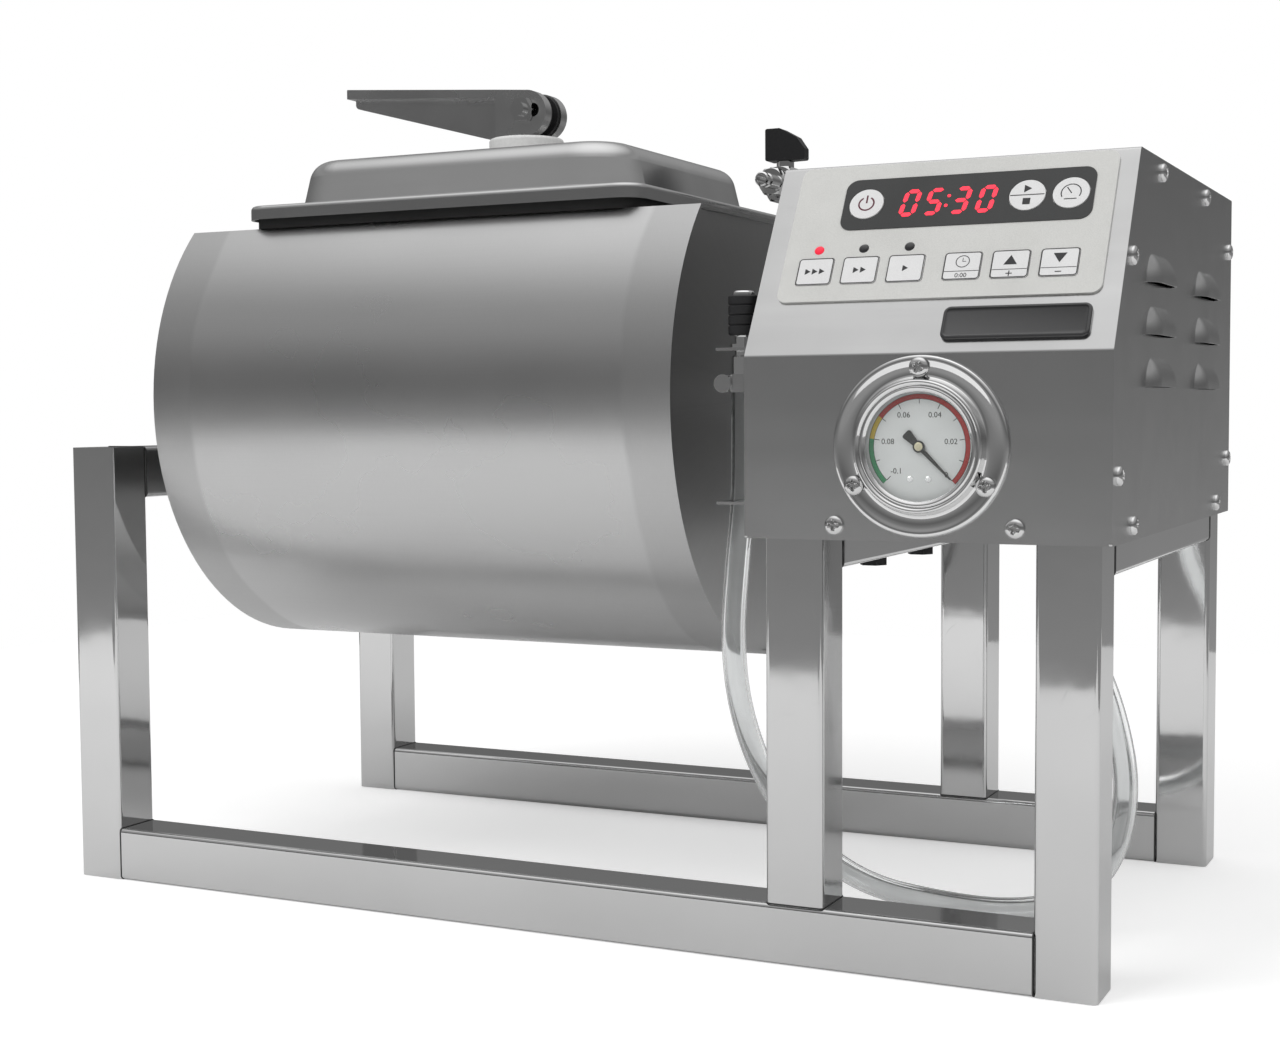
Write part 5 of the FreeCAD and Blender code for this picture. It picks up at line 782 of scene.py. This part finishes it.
@dataclass
class Studio:
    """The pale floor, the soft lamps and the room that the steel mirrors."""

    floor_half: float = 1.15
    floor_drop: float = 2e-4
    floor_tone: float = 0.8
    floor_lift: float = 0.36
    room: tuple[tuple[float, float], ...] = (
        (0.0, 0.33), (0.44, 0.30), (0.5, 0.2), (0.56, 0.13), (0.64, 0.22), (0.73, 0.42),
        (0.8, 0.36), (0.86, 0.62), (0.92, 0.95), (1.0, 1.3))
    lamps: tuple[tuple[str, tuple[float, ...], tuple[float, ...], float, float], ...] = (
        ("key_lamp", (-0.9, -1.5, 1.7), (0.0, 0.0, 0.15), 1.4, 22.0),
        ("fill_lamp", (1.6, -0.7, 1.3), (0.0, 0.0, 0.2), 1.2, 9.0))

    def build(self) -> None:
        """Make the floor, the world and the lamps."""
        self._floor()
        self._world()
        for lamp in self.lamps:
            self._lamp(*lamp)

    def _floor(self) -> None:
        """The floor: diffuse card that shows white to the camera and keeps the shadow."""
        sheet = FinishSheet("floor card")
        _, smudge = sheet.pattern(Pattern.SMUDGES, scale=2.0)
        tone = sheet.blend(smudge, grey(self.floor_tone), grey(self.floor_tone * 0.98))
        rays = sheet.put("ShaderNodeLightPath").outputs
        card = sheet.put("ShaderNodeBsdfDiffuse", {0: tone}).outputs[0]
        white = sheet.put("ShaderNodeEmission", {0: grey(1.0), 1: self.floor_lift}).outputs[0]
        lifted = sheet.put("ShaderNodeAddShader", {0: card, 1: white}).outputs[0]
        sheet.mixed_with(rays["Is Camera Ray"], card, lifted)
        half = self.floor_half
        level = CAD_BOX[0][2] - self.floor_drop
        corners = [(x * half, y * half, level) for x, y in ((-1, -1), (1, -1), (1, 1), (-1, 1))]
        mesh = bpy.data.meshes.new("floor")
        mesh.from_pydata(corners, [], [(0, 1, 2, 3)])
        mesh.materials.append(sheet.material)
        linked("floor", mesh)

    def _world(self) -> None:
        """The room: white to the camera, and to other rays a tone that rises with height."""
        world = bpy.data.worlds.new("studio")
        bpy.context.scene.world = world
        world.use_nodes = True
        world.node_tree.nodes.clear()
        sheet = NodeSheet(world.node_tree)
        place = sheet.put("ShaderNodeTexCoord").outputs["Generated"]
        parts = sheet.put("ShaderNodeSeparateXYZ", {0: place})
        height = sheet.math("MULTIPLY_ADD", parts.outputs[2], 0.5, 0.5)
        ramp = sheet.put("ShaderNodeValToRGB", {0: height})
        elements = ramp.color_ramp.elements
        while len(elements) < len(self.room):
            elements.new(0.5)
        for element, (position, tone) in zip(elements, self.room):
            element.position, element.color = position, grey(tone)
        room = sheet.put("ShaderNodeBackground", {0: ramp.outputs[0], 1: 1.0})
        white = sheet.put("ShaderNodeBackground", {0: grey(1.0), 1: 1.0})
        rays = sheet.put("ShaderNodeLightPath").outputs
        open_view = sheet.math("MAXIMUM", rays["Is Camera Ray"], rays["Is Transmission Ray"])
        mixed = sheet.put("ShaderNodeMixShader", {0: open_view, 1: room.outputs[0],
                                                  2: white.outputs[0]})
        sheet.put("ShaderNodeOutputWorld", {0: mixed.outputs[0]})

    def _lamp(self, name: str, place: Sequence[float], target: Sequence[float], size: float,
              power: float) -> None:
        """A square soft lamp aimed at a point, which polished metal doesn't mirror."""
        data = bpy.data.lights.new(name, "AREA")
        data.size, data.energy = size, power
        lamp = linked(name, data)
        lamp.location = place
        aim = Vector(target) - Vector(place)
        lamp.rotation_euler = aim.to_track_quat("-Z", "Y").to_euler()
        lamp.visible_glossy = False


@dataclass
class Hose:
    """The clear vacuum hose: a soft tube of one smooth line, open at both ends."""

    body: str = STEEL_BODY
    radius: float = 0.00625
    wall: float = 0.0017
    length: float = 0.625
    sides: int = 28
    route: tuple[tuple[float, float, float], ...] = (
        (0.2526, -0.03855, 0.205), (0.2526, -0.03855, 0.178), (0.2626, -0.04541, 0.148),
        (0.2776, -0.05227, 0.116), (0.2856, -0.05617, 0.078), (0.2786, -0.05712, 0.042),
        (0.2566, -0.05511, 0.017), (0.2226, -0.05026, 0.0074), (0.1826, -0.04731, 0.0076),
        (0.1466, -0.05617, 0.015), (0.1206, -0.07569, 0.038), (0.1046, -0.09911, 0.076),
        (0.0986, -0.11968, 0.116), (0.1006, -0.13424, 0.155), (0.1066, -0.14205, 0.192),
        (0.1112, -0.14394, 0.227), (0.1116, -0.14405, 0.259), (0.1116, -0.14405, 0.290))

    def middle_line(self) -> np.ndarray:
        """Points of the route's own spline, read from a curve with no bevel."""
        curve = bpy.data.curves.new("hose line", "CURVE")
        curve.dimensions = "3D"
        curve.resolution_u = 14
        spline = curve.splines.new("NURBS")
        spline.points.add(len(self.route) - 1)
        weighted = np.column_stack([self.route, np.ones(len(self.route))])
        spline.points.foreach_set("co", weighted.ravel())
        spline.order_u = 3
        spline.use_endpoint_u = True
        return shape_of_curve(curve).points

    def build(self, wardrobe: Wardrobe, fittings: Sequence[bpy.types.Object]) -> None:
        """Args:
            wardrobe: Where its material comes from.
            fittings: The pieces that sit on the hose. Not used.
        """
        path = self.middle_line()
        outside = swept(path, self.radius, self.sides)
        inside = swept(path, self.radius - self.wall, self.sides)
        wall = joined([outside, Shape(inside.points, [face[::-1] for face in inside.faces])])
        first = np.arange(self.sides)
        second = (first + 1) % self.sides
        offset = len(path) * self.sides
        rims = [np.stack([second, first, first + offset, second + offset], -1)]
        rims.append(rims[0][:, [1, 0, 3, 2]] + offset - self.sides)
        faces = wall.faces + [tuple(quad) for rim in rims for quad in rim.tolist()]
        hose = put_mesh("vacuum_tube", Shape(wall.points, faces), [wardrobe.get("clear_hose")],
                        self.body, ["vacuum_hose"])


@dataclass
class PanHeads:
    """The pan-head screws of the panels and the gauge, with crossed recesses."""

    head_radius: float = 0.0046
    head_height: float = 0.0026
    recess_reach: float = 0.0027
    recess_half: float = 0.00062
    recess_depth: float = 0.0019
    edge: float = 0.0068
    inset: float = 0.0112
    tube: float = 0.03
    sheet: float = 0.0015
    floor_rise: float = 0.014
    slope_share: float = 0.46
    top_from_slope: float = 0.052
    top_from_back: float = 0.090
    low_front_rise: float = 0.0174
    low_back_rise: float = 0.018
    back_drop: float = 0.031
    tab_reaches: tuple[float, float] = (0.012, 0.014)
    post_clearance: float = 0.002
    back_flange: float = 0.0155
    gauge_circle: float = 0.0368
    gauge_plate: float = 0.0025
    gauge_angles: tuple[float, ...] = (90, 210, 330)
    samples: int = 48
    turn_seed: int = 7
    turn_count: int = 40

    def places(self) -> list[Matrix]:
        """A seat for each screw, from the faces and folds of the box."""
        front, back, top = SIDE[0].y, SIDE[1].y, SIDE[1].z
        floor_z = SIDE[0].z + self.floor_rise
        low_z = floor_z - self.edge
        posts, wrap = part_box("box_posts"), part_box("box_wrap")
        rise = (top - SLOPE_FOLD_Z) * self.slope_share
        slope_y = front + rise / math.tan(SLOPE_TILT) + self.inset / math.sin(SLOPE_TILT)
        side = [(front + SLOPE_RUN + self.top_from_slope, top - self.edge),
                (back - self.top_from_back, top - self.edge),
                (slope_y, SLOPE_FOLD_Z + rise),
                (front + self.inset, floor_z + self.low_front_rise),
                (back - self.inset, floor_z + self.low_back_rise),
                (back - self.inset, top - self.back_drop),
                (posts[0].y + self.tube + self.tab_reaches[0], low_z),
                (posts[1].y - self.tube - self.tab_reaches[1], low_z)]
        left_x, right_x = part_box("box_left_panel")[0].x, wrap[1].x + self.sheet
        seats = [seat((right_x, y, z), (0, 1, 0), (0, 0, 1)) for y, z in side]
        seats += [seat((left_x, y, z), (0, -1, 0), (0, 0, 1)) for y, z in side]
        bay = (posts[0].x + self.tube + self.edge, posts[1].x - self.tube - self.edge)
        seats += [seat((x, front, low_z), (1, 0, 0), (0, 0, 1))
                  for x in (bay[0], bay[1] - self.post_clearance)]
        back_top = top - self.sheet - self.edge
        fold = self.back_flange + self.edge
        seats += [seat((x, back, z), (-1, 0, 0), (0, 0, 1))
                  for x, z in ((bay[0], low_z), (bay[1], low_z), (wrap[0].x + fold, back_top),
                               (wrap[1].x - fold, back_top))]
        gauge = node_centre("gauge_flange")
        for turn in np.radians(self.gauge_angles):
            place = (gauge.x + self.gauge_circle * math.cos(turn), front - self.gauge_plate,
                     gauge.z + self.gauge_circle * math.sin(turn))
            seats.append(seat(place, (1, 0, 0), (0, 0, 1)))
        return seats

    def head(self, turn: float) -> Shape:
        """One head: height = dome - recess, over a grid of radius and angle.

        The dome falls as 1 - (r/R)^4 times its height.  The recess is a cross whose arms
        are turned by an angle, with steep walls.

        Args:
            turn: Angle of the cross, in radians.

        Returns:
            The head with its side wall, in its own frame.
        """
        share = np.concatenate([np.linspace(0.0, 0.62, 13), np.linspace(0.68, 1.0, 6)])
        angle = np.linspace(0, 2 * math.pi, self.samples, endpoint=False)
        radius = (share * self.head_radius)[:, None]
        x, y = radius * np.cos(angle), radius * np.sin(angle)
        dome = self.head_height * (1 - 0.55 * share[:, None] ** 4) * np.ones_like(x)
        u = x * math.cos(turn) + y * math.sin(turn)
        v = y * math.cos(turn) - x * math.sin(turn)
        across = np.minimum(np.abs(u), np.abs(v))
        along = np.maximum(np.abs(u), np.abs(v))
        wall = np.clip((self.recess_half * 1.25 - across) / (self.recess_half * 0.5), 0, 1)
        reach = np.clip((self.recess_reach - along) / (self.recess_half * 0.9), 0, 1)
        top = np.stack([x, y, dome - self.recess_depth * wall * reach], -1)
        rim = top[-1:].copy()
        rim[..., 2] = 0.0
        return grid_shape(np.concatenate([top, rim]), wrap_columns=True)

    def build(self, wardrobe: Wardrobe) -> None:
        """Put a head on every seat, each with its cross turned its own way."""
        draws = np.random.default_rng(self.turn_seed)
        turns = draws.uniform(0, math.pi / 2, self.turn_count)
        heads = [self.head(turn).placed(place) for turn, place in zip(turns, self.places())]
        put_mesh("pan_heads", joined(heads), [wardrobe.get("bright_screw")], STEEL_BODY,
                 ["panel_screws"], 50.0)


@dataclass
class Gauge:
    """The panel gauge: turned bezel, printed dial, needle boss and two small screws."""

    sweep: float = 270.0
    first_angle: float = -45.0
    divisions: int = 10
    arc_inner: float = 0.0222
    arc_outer: float = 0.0245
    arcs: tuple[tuple[str, float, float], ...] = (
        ("red", 0.0, 0.7), ("amber", 0.7, 0.8), ("green", 0.8, 1.0))
    numbers: tuple[tuple[int, str], ...] = (
        (0, "0"), (2, "0.02"), (4, "0.04"), (6, "0.06"), (8, "0.08"), (10, "-0.1"))
    number_height: float = 0.0026
    hairline: float = 0.00022
    tick_half: float = 0.00016
    ticks: tuple[float, float] = (0.0026, 0.0021)
    print_rise: float = 0.00006
    screw_place: tuple[float, float] = (0.0044, -0.0152)

    def __post_init__(self) -> None:
        """Find the gauge's seat on the front panel and the height of its dial."""
        middle = node_centre("gauge_flange")
        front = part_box("box_wrap")[0].y
        self.seat = seat((middle.x, front, middle.z), (1, 0, 0), (0, 0, 1))
        self.dial_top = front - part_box("gauge_dial")[0].y
        self.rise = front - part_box("gauge_flange")[0].y

    def angle(self, share: float) -> float:
        """The direction on the dial, in degrees, of a share of the scale."""
        return self.first_angle + share * self.sweep

    def bezel(self) -> Shape:
        """The turned flange with its raised bezel, as one closed profile about the axis."""
        top = self.rise
        profile = [(0.0303, 0.0), (0.0421, 0.0), (0.0425, 0.0004), (0.0425, 0.0013),
                   (0.0423, 0.0019), (0.0418, 0.0023), (0.0411, 0.0025), (0.0398, 0.00248),
                   (0.0390, 0.0021), (0.0340, 0.0019), (0.0328, 0.0020), (0.0322, 0.0024),
                   (0.0319, 0.0032), (0.0314, 0.0050), (0.0311, 0.0060), (0.0306, top - 0.0002),
                   (0.0300, top), (0.0293, top - 0.0002), (0.0288, top - 0.0009),
                   (0.0284, top - 0.0012), (0.0279, top - 0.0007), (0.0273, top - 0.0005),
                   (0.0266, top - 0.0008), (0.0260, top - 0.0014), (0.0255, top - 0.0017),
                   (0.0255, 0.0051), (0.0303, 0.0051), (0.0303, 0.0)]
        return turned(profile, 160)

    def printing(self) -> dict[str, Shape]:
        """The dial's printed marks by ink: coloured arcs, ticks, hairlines and numbers."""
        low, high = self.dial_top, self.dial_top + self.print_rise
        inner, outer = self.arc_inner, self.arc_outer
        marks = {ink: arc_band(inner, outer, self.angle(start), self.angle(end), low, high,
                               96 if ink == "red" else 48)
                 for ink, start, end in self.arcs}
        black = [arc_band(radius, radius + self.hairline, self.angle(0.0), self.angle(1.0), low,
                          high * 1.004, 96)
                 for radius in (inner - 0.0001, outer - 0.0001)]
        for step in range(self.divisions + 1):
            turn = Matrix.Rotation(math.radians(self.angle(step / self.divisions)), 4, "Z")
            start, half = inner - self.ticks[step % 2], self.tick_half
            mark = [(start, -half), (inner, -half), (inner, half), (start, half)]
            black.append(flat_shape(mark, low, high).placed(turn))
        for step, text in self.numbers:
            angle = math.radians(self.angle(step / self.divisions))
            reach = 0.0176 - 0.0022 * abs(math.cos(angle)) if len(text) > 1 else 0.0184
            place = Matrix.Translation((reach * math.cos(angle), reach * math.sin(angle), low))
            black.append(lettering(text, self.number_height, self.print_rise).placed(place))
        return {**marks, "black": joined(black)}

    def build(self, wardrobe: Wardrobe) -> None:
        """Make the bezel, the dial's printing, the needle's boss and the two dial screws."""
        put_mesh("gauge_bezel", self.bezel().placed(self.seat), [wardrobe.get("chrome")],
                 STEEL_BODY, ["gauge_flange"], 60.0)
        inks = {"red": (0.42, 0.03, 0.025), "amber": (0.62, 0.45, 0.06),
                "green": (0.05, 0.27, 0.12), "black": (0.015, 0.015, 0.012)}
        shapes = self.printing()
        materials = [wardrobe.own(Moulded(f"{ink} dial ink", colour, 0.5, grain_scale=2400.0,
                                          speckle=0.15))
                     for ink, colour in inks.items()]
        faces = [index for index, ink in enumerate(inks) for _ in shapes[ink].faces]
        put_mesh("dial_printing", joined(shapes[ink] for ink in inks).placed(self.seat), materials,
                 STEEL_BODY, face_materials=faces)
        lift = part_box("box_wrap")[0].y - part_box("gauge_needle")[0].y
        boss = turned([(0.0, lift + 0.00035), (0.0007, lift + 0.00033), (0.0008, lift + 0.00022),
                       (0.0017, lift + 0.0002), (0.0020, lift + 0.0001), (0.0020, lift - 0.0002),
                       (0.0, lift - 0.0002)], 40)
        brass = wardrobe.own(Moulded("brass boss", (0.6, 0.56, 0.4), 0.3, metallic=0.6))
        put_mesh("needle_boss", boss.placed(self.seat), [brass], "gauge_needle")
        top, (across, up) = self.dial_top, self.screw_place
        head = turned([(0.0, top + 0.0005), (0.0008, top + 0.00045), (0.0014, top + 0.0002),
                       (0.0015, top - 0.0001), (0.0, top - 0.0001)], 24)
        heads = [head.placed(Matrix.Translation((x, up, 0))) for x in (-across, across)]
        put_mesh("dial_screws", joined(heads).placed(self.seat), [wardrobe.get("bright_screw")],
                 STEEL_BODY)


class Segment(Enum):
    """The seven bars of a lit figure, each as its ends on a grid of 1 x 2 cells."""

    TOP = ((0, 2), (1, 2))
    HIGH_RIGHT = ((1, 2), (1, 1))
    LOW_RIGHT = ((1, 1), (1, 0))
    BOTTOM = ((0, 0), (1, 0))
    LOW_LEFT = ((0, 1), (0, 0))
    HIGH_LEFT = ((0, 2), (0, 1))
    MIDDLE = ((0, 1), (1, 1))


@dataclass
class Keypad:
    """The keypad's printing, lit figures, speed lights and bare badge on the sloping panel."""

    film: float = 0.0012
    window: float = 0.0016
    key_top: float = 0.0016
    round_key_top: float = 0.0020
    ink: float = 0.00007
    key_row: float = 0.0470
    key_size: tuple[float, float] = (0.0178, 0.0152)
    key_places: tuple[tuple[str, float], ...] = (
        ("key_fast", 0.0281), ("key_medium", 0.0510), ("key_slow", 0.0740),
        ("key_clock", 0.1019), ("key_up", 0.1249), ("key_down", 0.1479))
    round_row: float = 0.0857
    power_x: float = 0.0479
    start_x: float = 0.1278
    vacuum_x: float = 0.1486
    light_row: float = 0.0596
    light_radius: float = 0.0024
    digits: str = "0530"
    digit_places: tuple[float, ...] = (0.0703, 0.0823, 0.0955, 0.1082)
    digit_row: float = 0.0850
    digit_size: tuple[float, float] = (0.0062, 0.0136)
    digit_stroke: float = 0.0022
    digit_slant: float = 0.16
    colon_x: float = 0.0889
    lit_rise: float = 0.0001
    badge_size: tuple[float, float] = (0.0694, 0.0180)
    badge_corner: float = 0.0036
    badge_place: tuple[float, float] = (0.0970, 0.0063)
    badge_rise: float = 0.0022
    lit: dict[str, str] = field(default_factory=lambda: {
        "0": "TOP HIGH_RIGHT LOW_RIGHT BOTTOM LOW_LEFT HIGH_LEFT",
        "3": "TOP HIGH_RIGHT MIDDLE LOW_RIGHT BOTTOM",
        "5": "TOP HIGH_LEFT MIDDLE LOW_RIGHT BOTTOM"})

    def on_slope(self, shape: Shape, across: float, up: float) -> Shape:
        """Lay a flat shape on the slope, about a point of it."""
        return shape.placed(SLOPE_SEAT @ Matrix.Translation((across, up, 0)))

    def outline_ring(self, width: float, height: float, corner: float, stroke: float,
                     low: float) -> Shape:
        """A printed frame: outer and inner rounded rectangles joined by thin bands."""
        outer = rounded_outline(width, height, corner)
        inner = rounded_outline(width - 2 * stroke, height - 2 * stroke, max(corner - stroke, 1e-4))
        levels = [(outer, low), (outer, low + self.ink), (inner, low + self.ink), (inner, low)]
        grid = np.stack([np.column_stack([line, np.full(len(line), z)]) for line, z in levels])
        return grid_shape(grid, wrap_rows=True, wrap_columns=True)

    def triangle(self, size: float, turn: float, low: float, x: float = 0.0,
                 y: float = 0.0) -> Shape:
        """A printed triangle that points up when its turn is zero."""
        corners = [(-size / 2, -size * 0.4), (size / 2, -size * 0.4), (0.0, size * 0.42)]
        place = Matrix.Translation((x, y, 0)) @ Matrix.Rotation(turn, 4, "Z")
        return flat_shape(corners, low, low + self.ink).placed(place)

    def bar(self, width: float, height: float, low: float, x: float = 0.0, y: float = 0.0) -> Shape:
        """A printed bar about a point."""
        corners = [(x + i * width / 2, y + j * height / 2)
                   for i, j in ((-1, -1), (1, -1), (1, 1), (-1, 1))]
        return flat_shape(corners, low, low + self.ink)

    def key_signs(self) -> dict[str, list[Shape]]:
        """The printed signs of each key, about its own middle."""
        low = self.key_top
        width, height = self.key_size
        split = self.bar(width - 0.0012, 0.0003, low, 0.0, -0.0030)
        minus = self.bar(0.0030, 0.0005, low, 0.0, -0.0053)
        clock_ring = arc_band(0.0030, 0.0034, 0, 360, low, low + self.ink, 64)
        signs: dict[str, list[Shape]] = {
            key: [self.triangle(0.0034, -math.pi / 2, low, x) for x in places]
            for key, places in (("key_fast", (-0.0036, 0.0, 0.0036)),
                                ("key_medium", (-0.0018, 0.0018)), ("key_slow", (0.0,)))}
        signs["key_clock"] = [
            split, clock_ring.placed(Matrix.Translation((0, 0.0024, 0))),
            self.bar(0.0003, 0.0020, low, 0.0, 0.0034),
            self.bar(0.0016, 0.0003, low, 0.0008, 0.0024),
            lettering("0:00", 0.0024, self.ink).placed(Matrix.Translation((0, -0.0053, low)))]
        signs["key_up"] = [split, self.triangle(0.0064, 0.0, low, 0.0, 0.0022), minus,
                           self.bar(0.0005, 0.0030, low, 0.0, -0.0053)]
        signs["key_down"] = [split, self.triangle(0.0064, math.pi, low, 0.0, 0.0024), minus]
        frame = self.outline_ring(width, height, 0.0017, 0.00045, low)
        for shapes in signs.values():
            shapes.append(frame)
        return signs

    def round_signs(self) -> dict[str, tuple[float, list[Shape]]]:
        """The printed signs of the round keys with each key's place along the row."""
        low = self.round_key_top
        power = [arc_band(0.0034, 0.0042, 120, 420, low, low + self.ink, 64),
                 self.bar(0.0008, 0.0046, low, 0.0, 0.0026)]
        start = [self.bar(0.0164, 0.0005, low),
                 self.triangle(0.0044, -math.pi / 2, low, 0.0, 0.0036),
                 self.bar(0.0036, 0.0036, low, 0.0, -0.0037)]
        dial = [arc_band(0.0044, 0.0049, -30, 210, low, low + self.ink, 64),
                self.bar(0.0005, 0.0042, low, 0.0, 0.0016).placed(Matrix.Rotation(0.6, 4, "Z")),
                self.bar(0.0060, 0.0005, low, 0.0, -0.0036)]
        return {"key_power": (self.power_x, power), "key_start": (self.start_x, start),
                "key_vacuum": (self.vacuum_x, dial)}

    def figure(self, digit: str) -> Shape:
        """One lit figure: each bar is a six-sided outline between two points of the grid."""
        width, height = self.digit_size
        half = self.digit_stroke / 2
        low, high = self.window, self.window + self.lit_rise
        bars = []
        for name in self.lit[digit].split():
            start, end = (np.array(point, float) for point in Segment[name].value)
            start = (start - (0.5, 1)) * (width, height / 2)
            end = (end - (0.5, 1)) * (width, height / 2)
            ahead = (end - start) / np.linalg.norm(end - start)
            side = np.array([-ahead[1], ahead[0]])
            near, far = start + ahead * half * 0.35, end - ahead * half * 0.35
            outline = [near, near + (ahead + side) * half, far + (side - ahead) * half, far,
                       far - (side + ahead) * half, near + (ahead - side) * half]
            outline = [(x + self.digit_slant * y, y) for x, y in outline]
            bars.append(flat_shape(outline, low, high))
        return joined(bars)

    def colon(self) -> Shape:
        """The two dots between the hours and the minutes."""
        low, high = self.window, self.window + self.lit_rise
        dot = turned([(0.0, high), (0.0009, high), (0.0009, low), (0.0, low)], 20)
        places = [(self.colon_x + self.digit_slant * y, self.digit_row + y, 0)
                  for y in (-0.0026, 0.0030)]
        return joined(dot.placed(Matrix.Translation(place)) for place in places)

    def build(self, wardrobe: Wardrobe) -> None:
        """Print the keys, light the figures, and set the lights and the badge."""
        ink = wardrobe.own(Moulded("key ink", (0.03, 0.03, 0.032), 0.45, grain_scale=2600.0,
                                   speckle=0.2))
        wine = wardrobe.own(Moulded("power sign ink", (0.10, 0.012, 0.03), 0.45,
                                    grain_scale=2600.0))
        places = dict(self.key_places)
        signs = [(name, places[name], self.key_row, shapes)
                 for name, shapes in self.key_signs().items()]
        signs += [(name, across, self.round_row, shapes)
                  for name, (across, shapes) in self.round_signs().items()]
        for name, across, row, shapes in signs:
            put_mesh(f"{name}_signs", self.on_slope(joined(shapes), across, row),
                     [wine if name == "key_power" else ink], name)
        figures = [self.on_slope(self.figure(digit), across, self.digit_row)
                   for digit, across in zip(self.digits, self.digit_places)]
        figures.append(self.on_slope(self.colon(), 0.0, 0.0))
        red = wardrobe.own(Glowing("lit figures", (1.0, 0.03, 0.06), 1.1))
        put_mesh("time_figures", joined(figures), [red], STEEL_BODY)
        self._lights(wardrobe)
        self._badge(wardrobe)

    def _lights(self, wardrobe: Wardrobe) -> None:
        """Three domed lights: the first is lit."""
        top = self.film + 0.0009
        dome = turned([(0.0, top), (0.0010, top - 0.0001), (0.0018, top - 0.00035),
                       (0.0023, top - 0.0007), (self.light_radius, self.film),
                       (self.light_radius, 0.0002), (0.0, 0.0002)], 32)
        lamps = [self.on_slope(dome, across, self.light_row) for _, across in self.key_places[:3]]
        dark = wardrobe.own(Moulded("unlit lens", (0.02, 0.02, 0.022), 0.25, coat=0.4))
        faces = [0] * len(lamps[0].faces) + [1] * 2 * len(lamps[0].faces)
        put_mesh("speed_lamps", joined(lamps), [wardrobe.get("light_red"), dark], STEEL_BODY,
                 ["speed_lights"], face_materials=faces)

    def _badge(self, wardrobe: Wardrobe) -> None:
        """The bare badge: a black plate with a raised rim and a sunk field."""
        (width, height), corner, rise = self.badge_size, self.badge_corner, self.badge_rise
        steps = [(0.0, 0.0), (0.0, rise - 0.0007), (0.0003, rise - 0.0002), (0.0008, rise),
                 (0.0014, rise), (0.0018, rise - 0.0003), (0.0024, rise - 0.0005)]
        outlines = [rounded_outline(width - 2 * inset, height - 2 * inset, corner - inset)
                    for inset, _ in steps]
        plate = stacked(outlines, [level for _, level in steps])
        across, up = self.badge_place
        enamel = Moulded("badge enamel", (0.016, 0.016, 0.017), 0.14, 0.06, 900.0, 2e-6, 0.2, 0.6)
        put_mesh("bare_badge", self.on_slope(plate, across + width / 2, up + height / 2),
                 [wardrobe.own(enamel)], STEEL_BODY, ["badge_plate"], 25.0)


@dataclass
class WeldSeams:
    """The dressed weld seams where the tubes meet: thin dark beads round each joint."""

    bead: float = 0.00042
    tube: float = 0.030
    corner: float = 0.0025

    def loop(self, centre: Sequence[float], normal: str) -> Shape:
        """A bead round a tube's outline, on a joint square to an axis."""
        outline = rounded_outline(self.tube, self.tube, self.corner, 6)
        flat = np.column_stack([outline, np.zeros(len(outline))])
        order = {"X": (2, 0, 1), "Y": (0, 2, 1), "Z": (0, 1, 2)}[normal]
        reference = {"X": (1, 0, 0), "Y": (0, 1, 0), "Z": (0, 0, 1)}[normal]
        path = flat[:, order] + np.array(centre)
        return swept(path, self.bead, 8, closed=True, reference=reference)

    def build(self, wardrobe: Wardrobe) -> None:
        """Put a bead round both ends of the rails and members and the feet of the posts."""
        half = self.tube / 2
        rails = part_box("bottom_rails")
        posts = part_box("box_posts")
        rows = (rails[0].y + half, rails[1].y - half)
        loops = [self.loop((x, y, half), "X") for x in (rails[0].x, rails[1].x) for y in rows]
        loops += [self.loop((posts[0].x + half, y, self.tube), "Z") for y in rows]
        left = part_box("left_cross_member")
        members = [(left[0].x + half, left[1].z - half),
                   (posts[0].x + half, posts[1].z - half), (posts[1].x - half, posts[1].z - half)]
        ends = (rails[0].y + self.tube, rails[1].y - self.tube)
        loops += [self.loop((x, y, z), "Y") for x, z in members for y in ends]
        dark = Steel("weld seam", 0.1, 0.45, 0.2, (900.0, 900.0, 900.0), 6e-5)
        put_mesh("weld_seams", joined(loops), [wardrobe.own(dark)], STEEL_BODY)


def main() -> None:
    """Build the stage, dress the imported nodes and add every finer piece."""
    logging.basicConfig(level=logging.INFO, format="%(message)s")
    bpy.context.scene.view_settings.view_transform = "Standard"
    CameraStand().build()
    wardrobe = Wardrobe()
    nodes = FRAME["nodes"]
    fittings = [nodes[name] for name in ("coupler_body", "coupler_sleeve", "hose_clamp")]
    Hose().build(wardrobe, fittings)
    wardrobe.dress(nodes)
    Studio().build()
    PanHeads().build(wardrobe)
    Gauge().build(wardrobe)
    Keypad().build(wardrobe)
    WeldSeams().build(wardrobe)


if __name__ == "__main__":
    main()
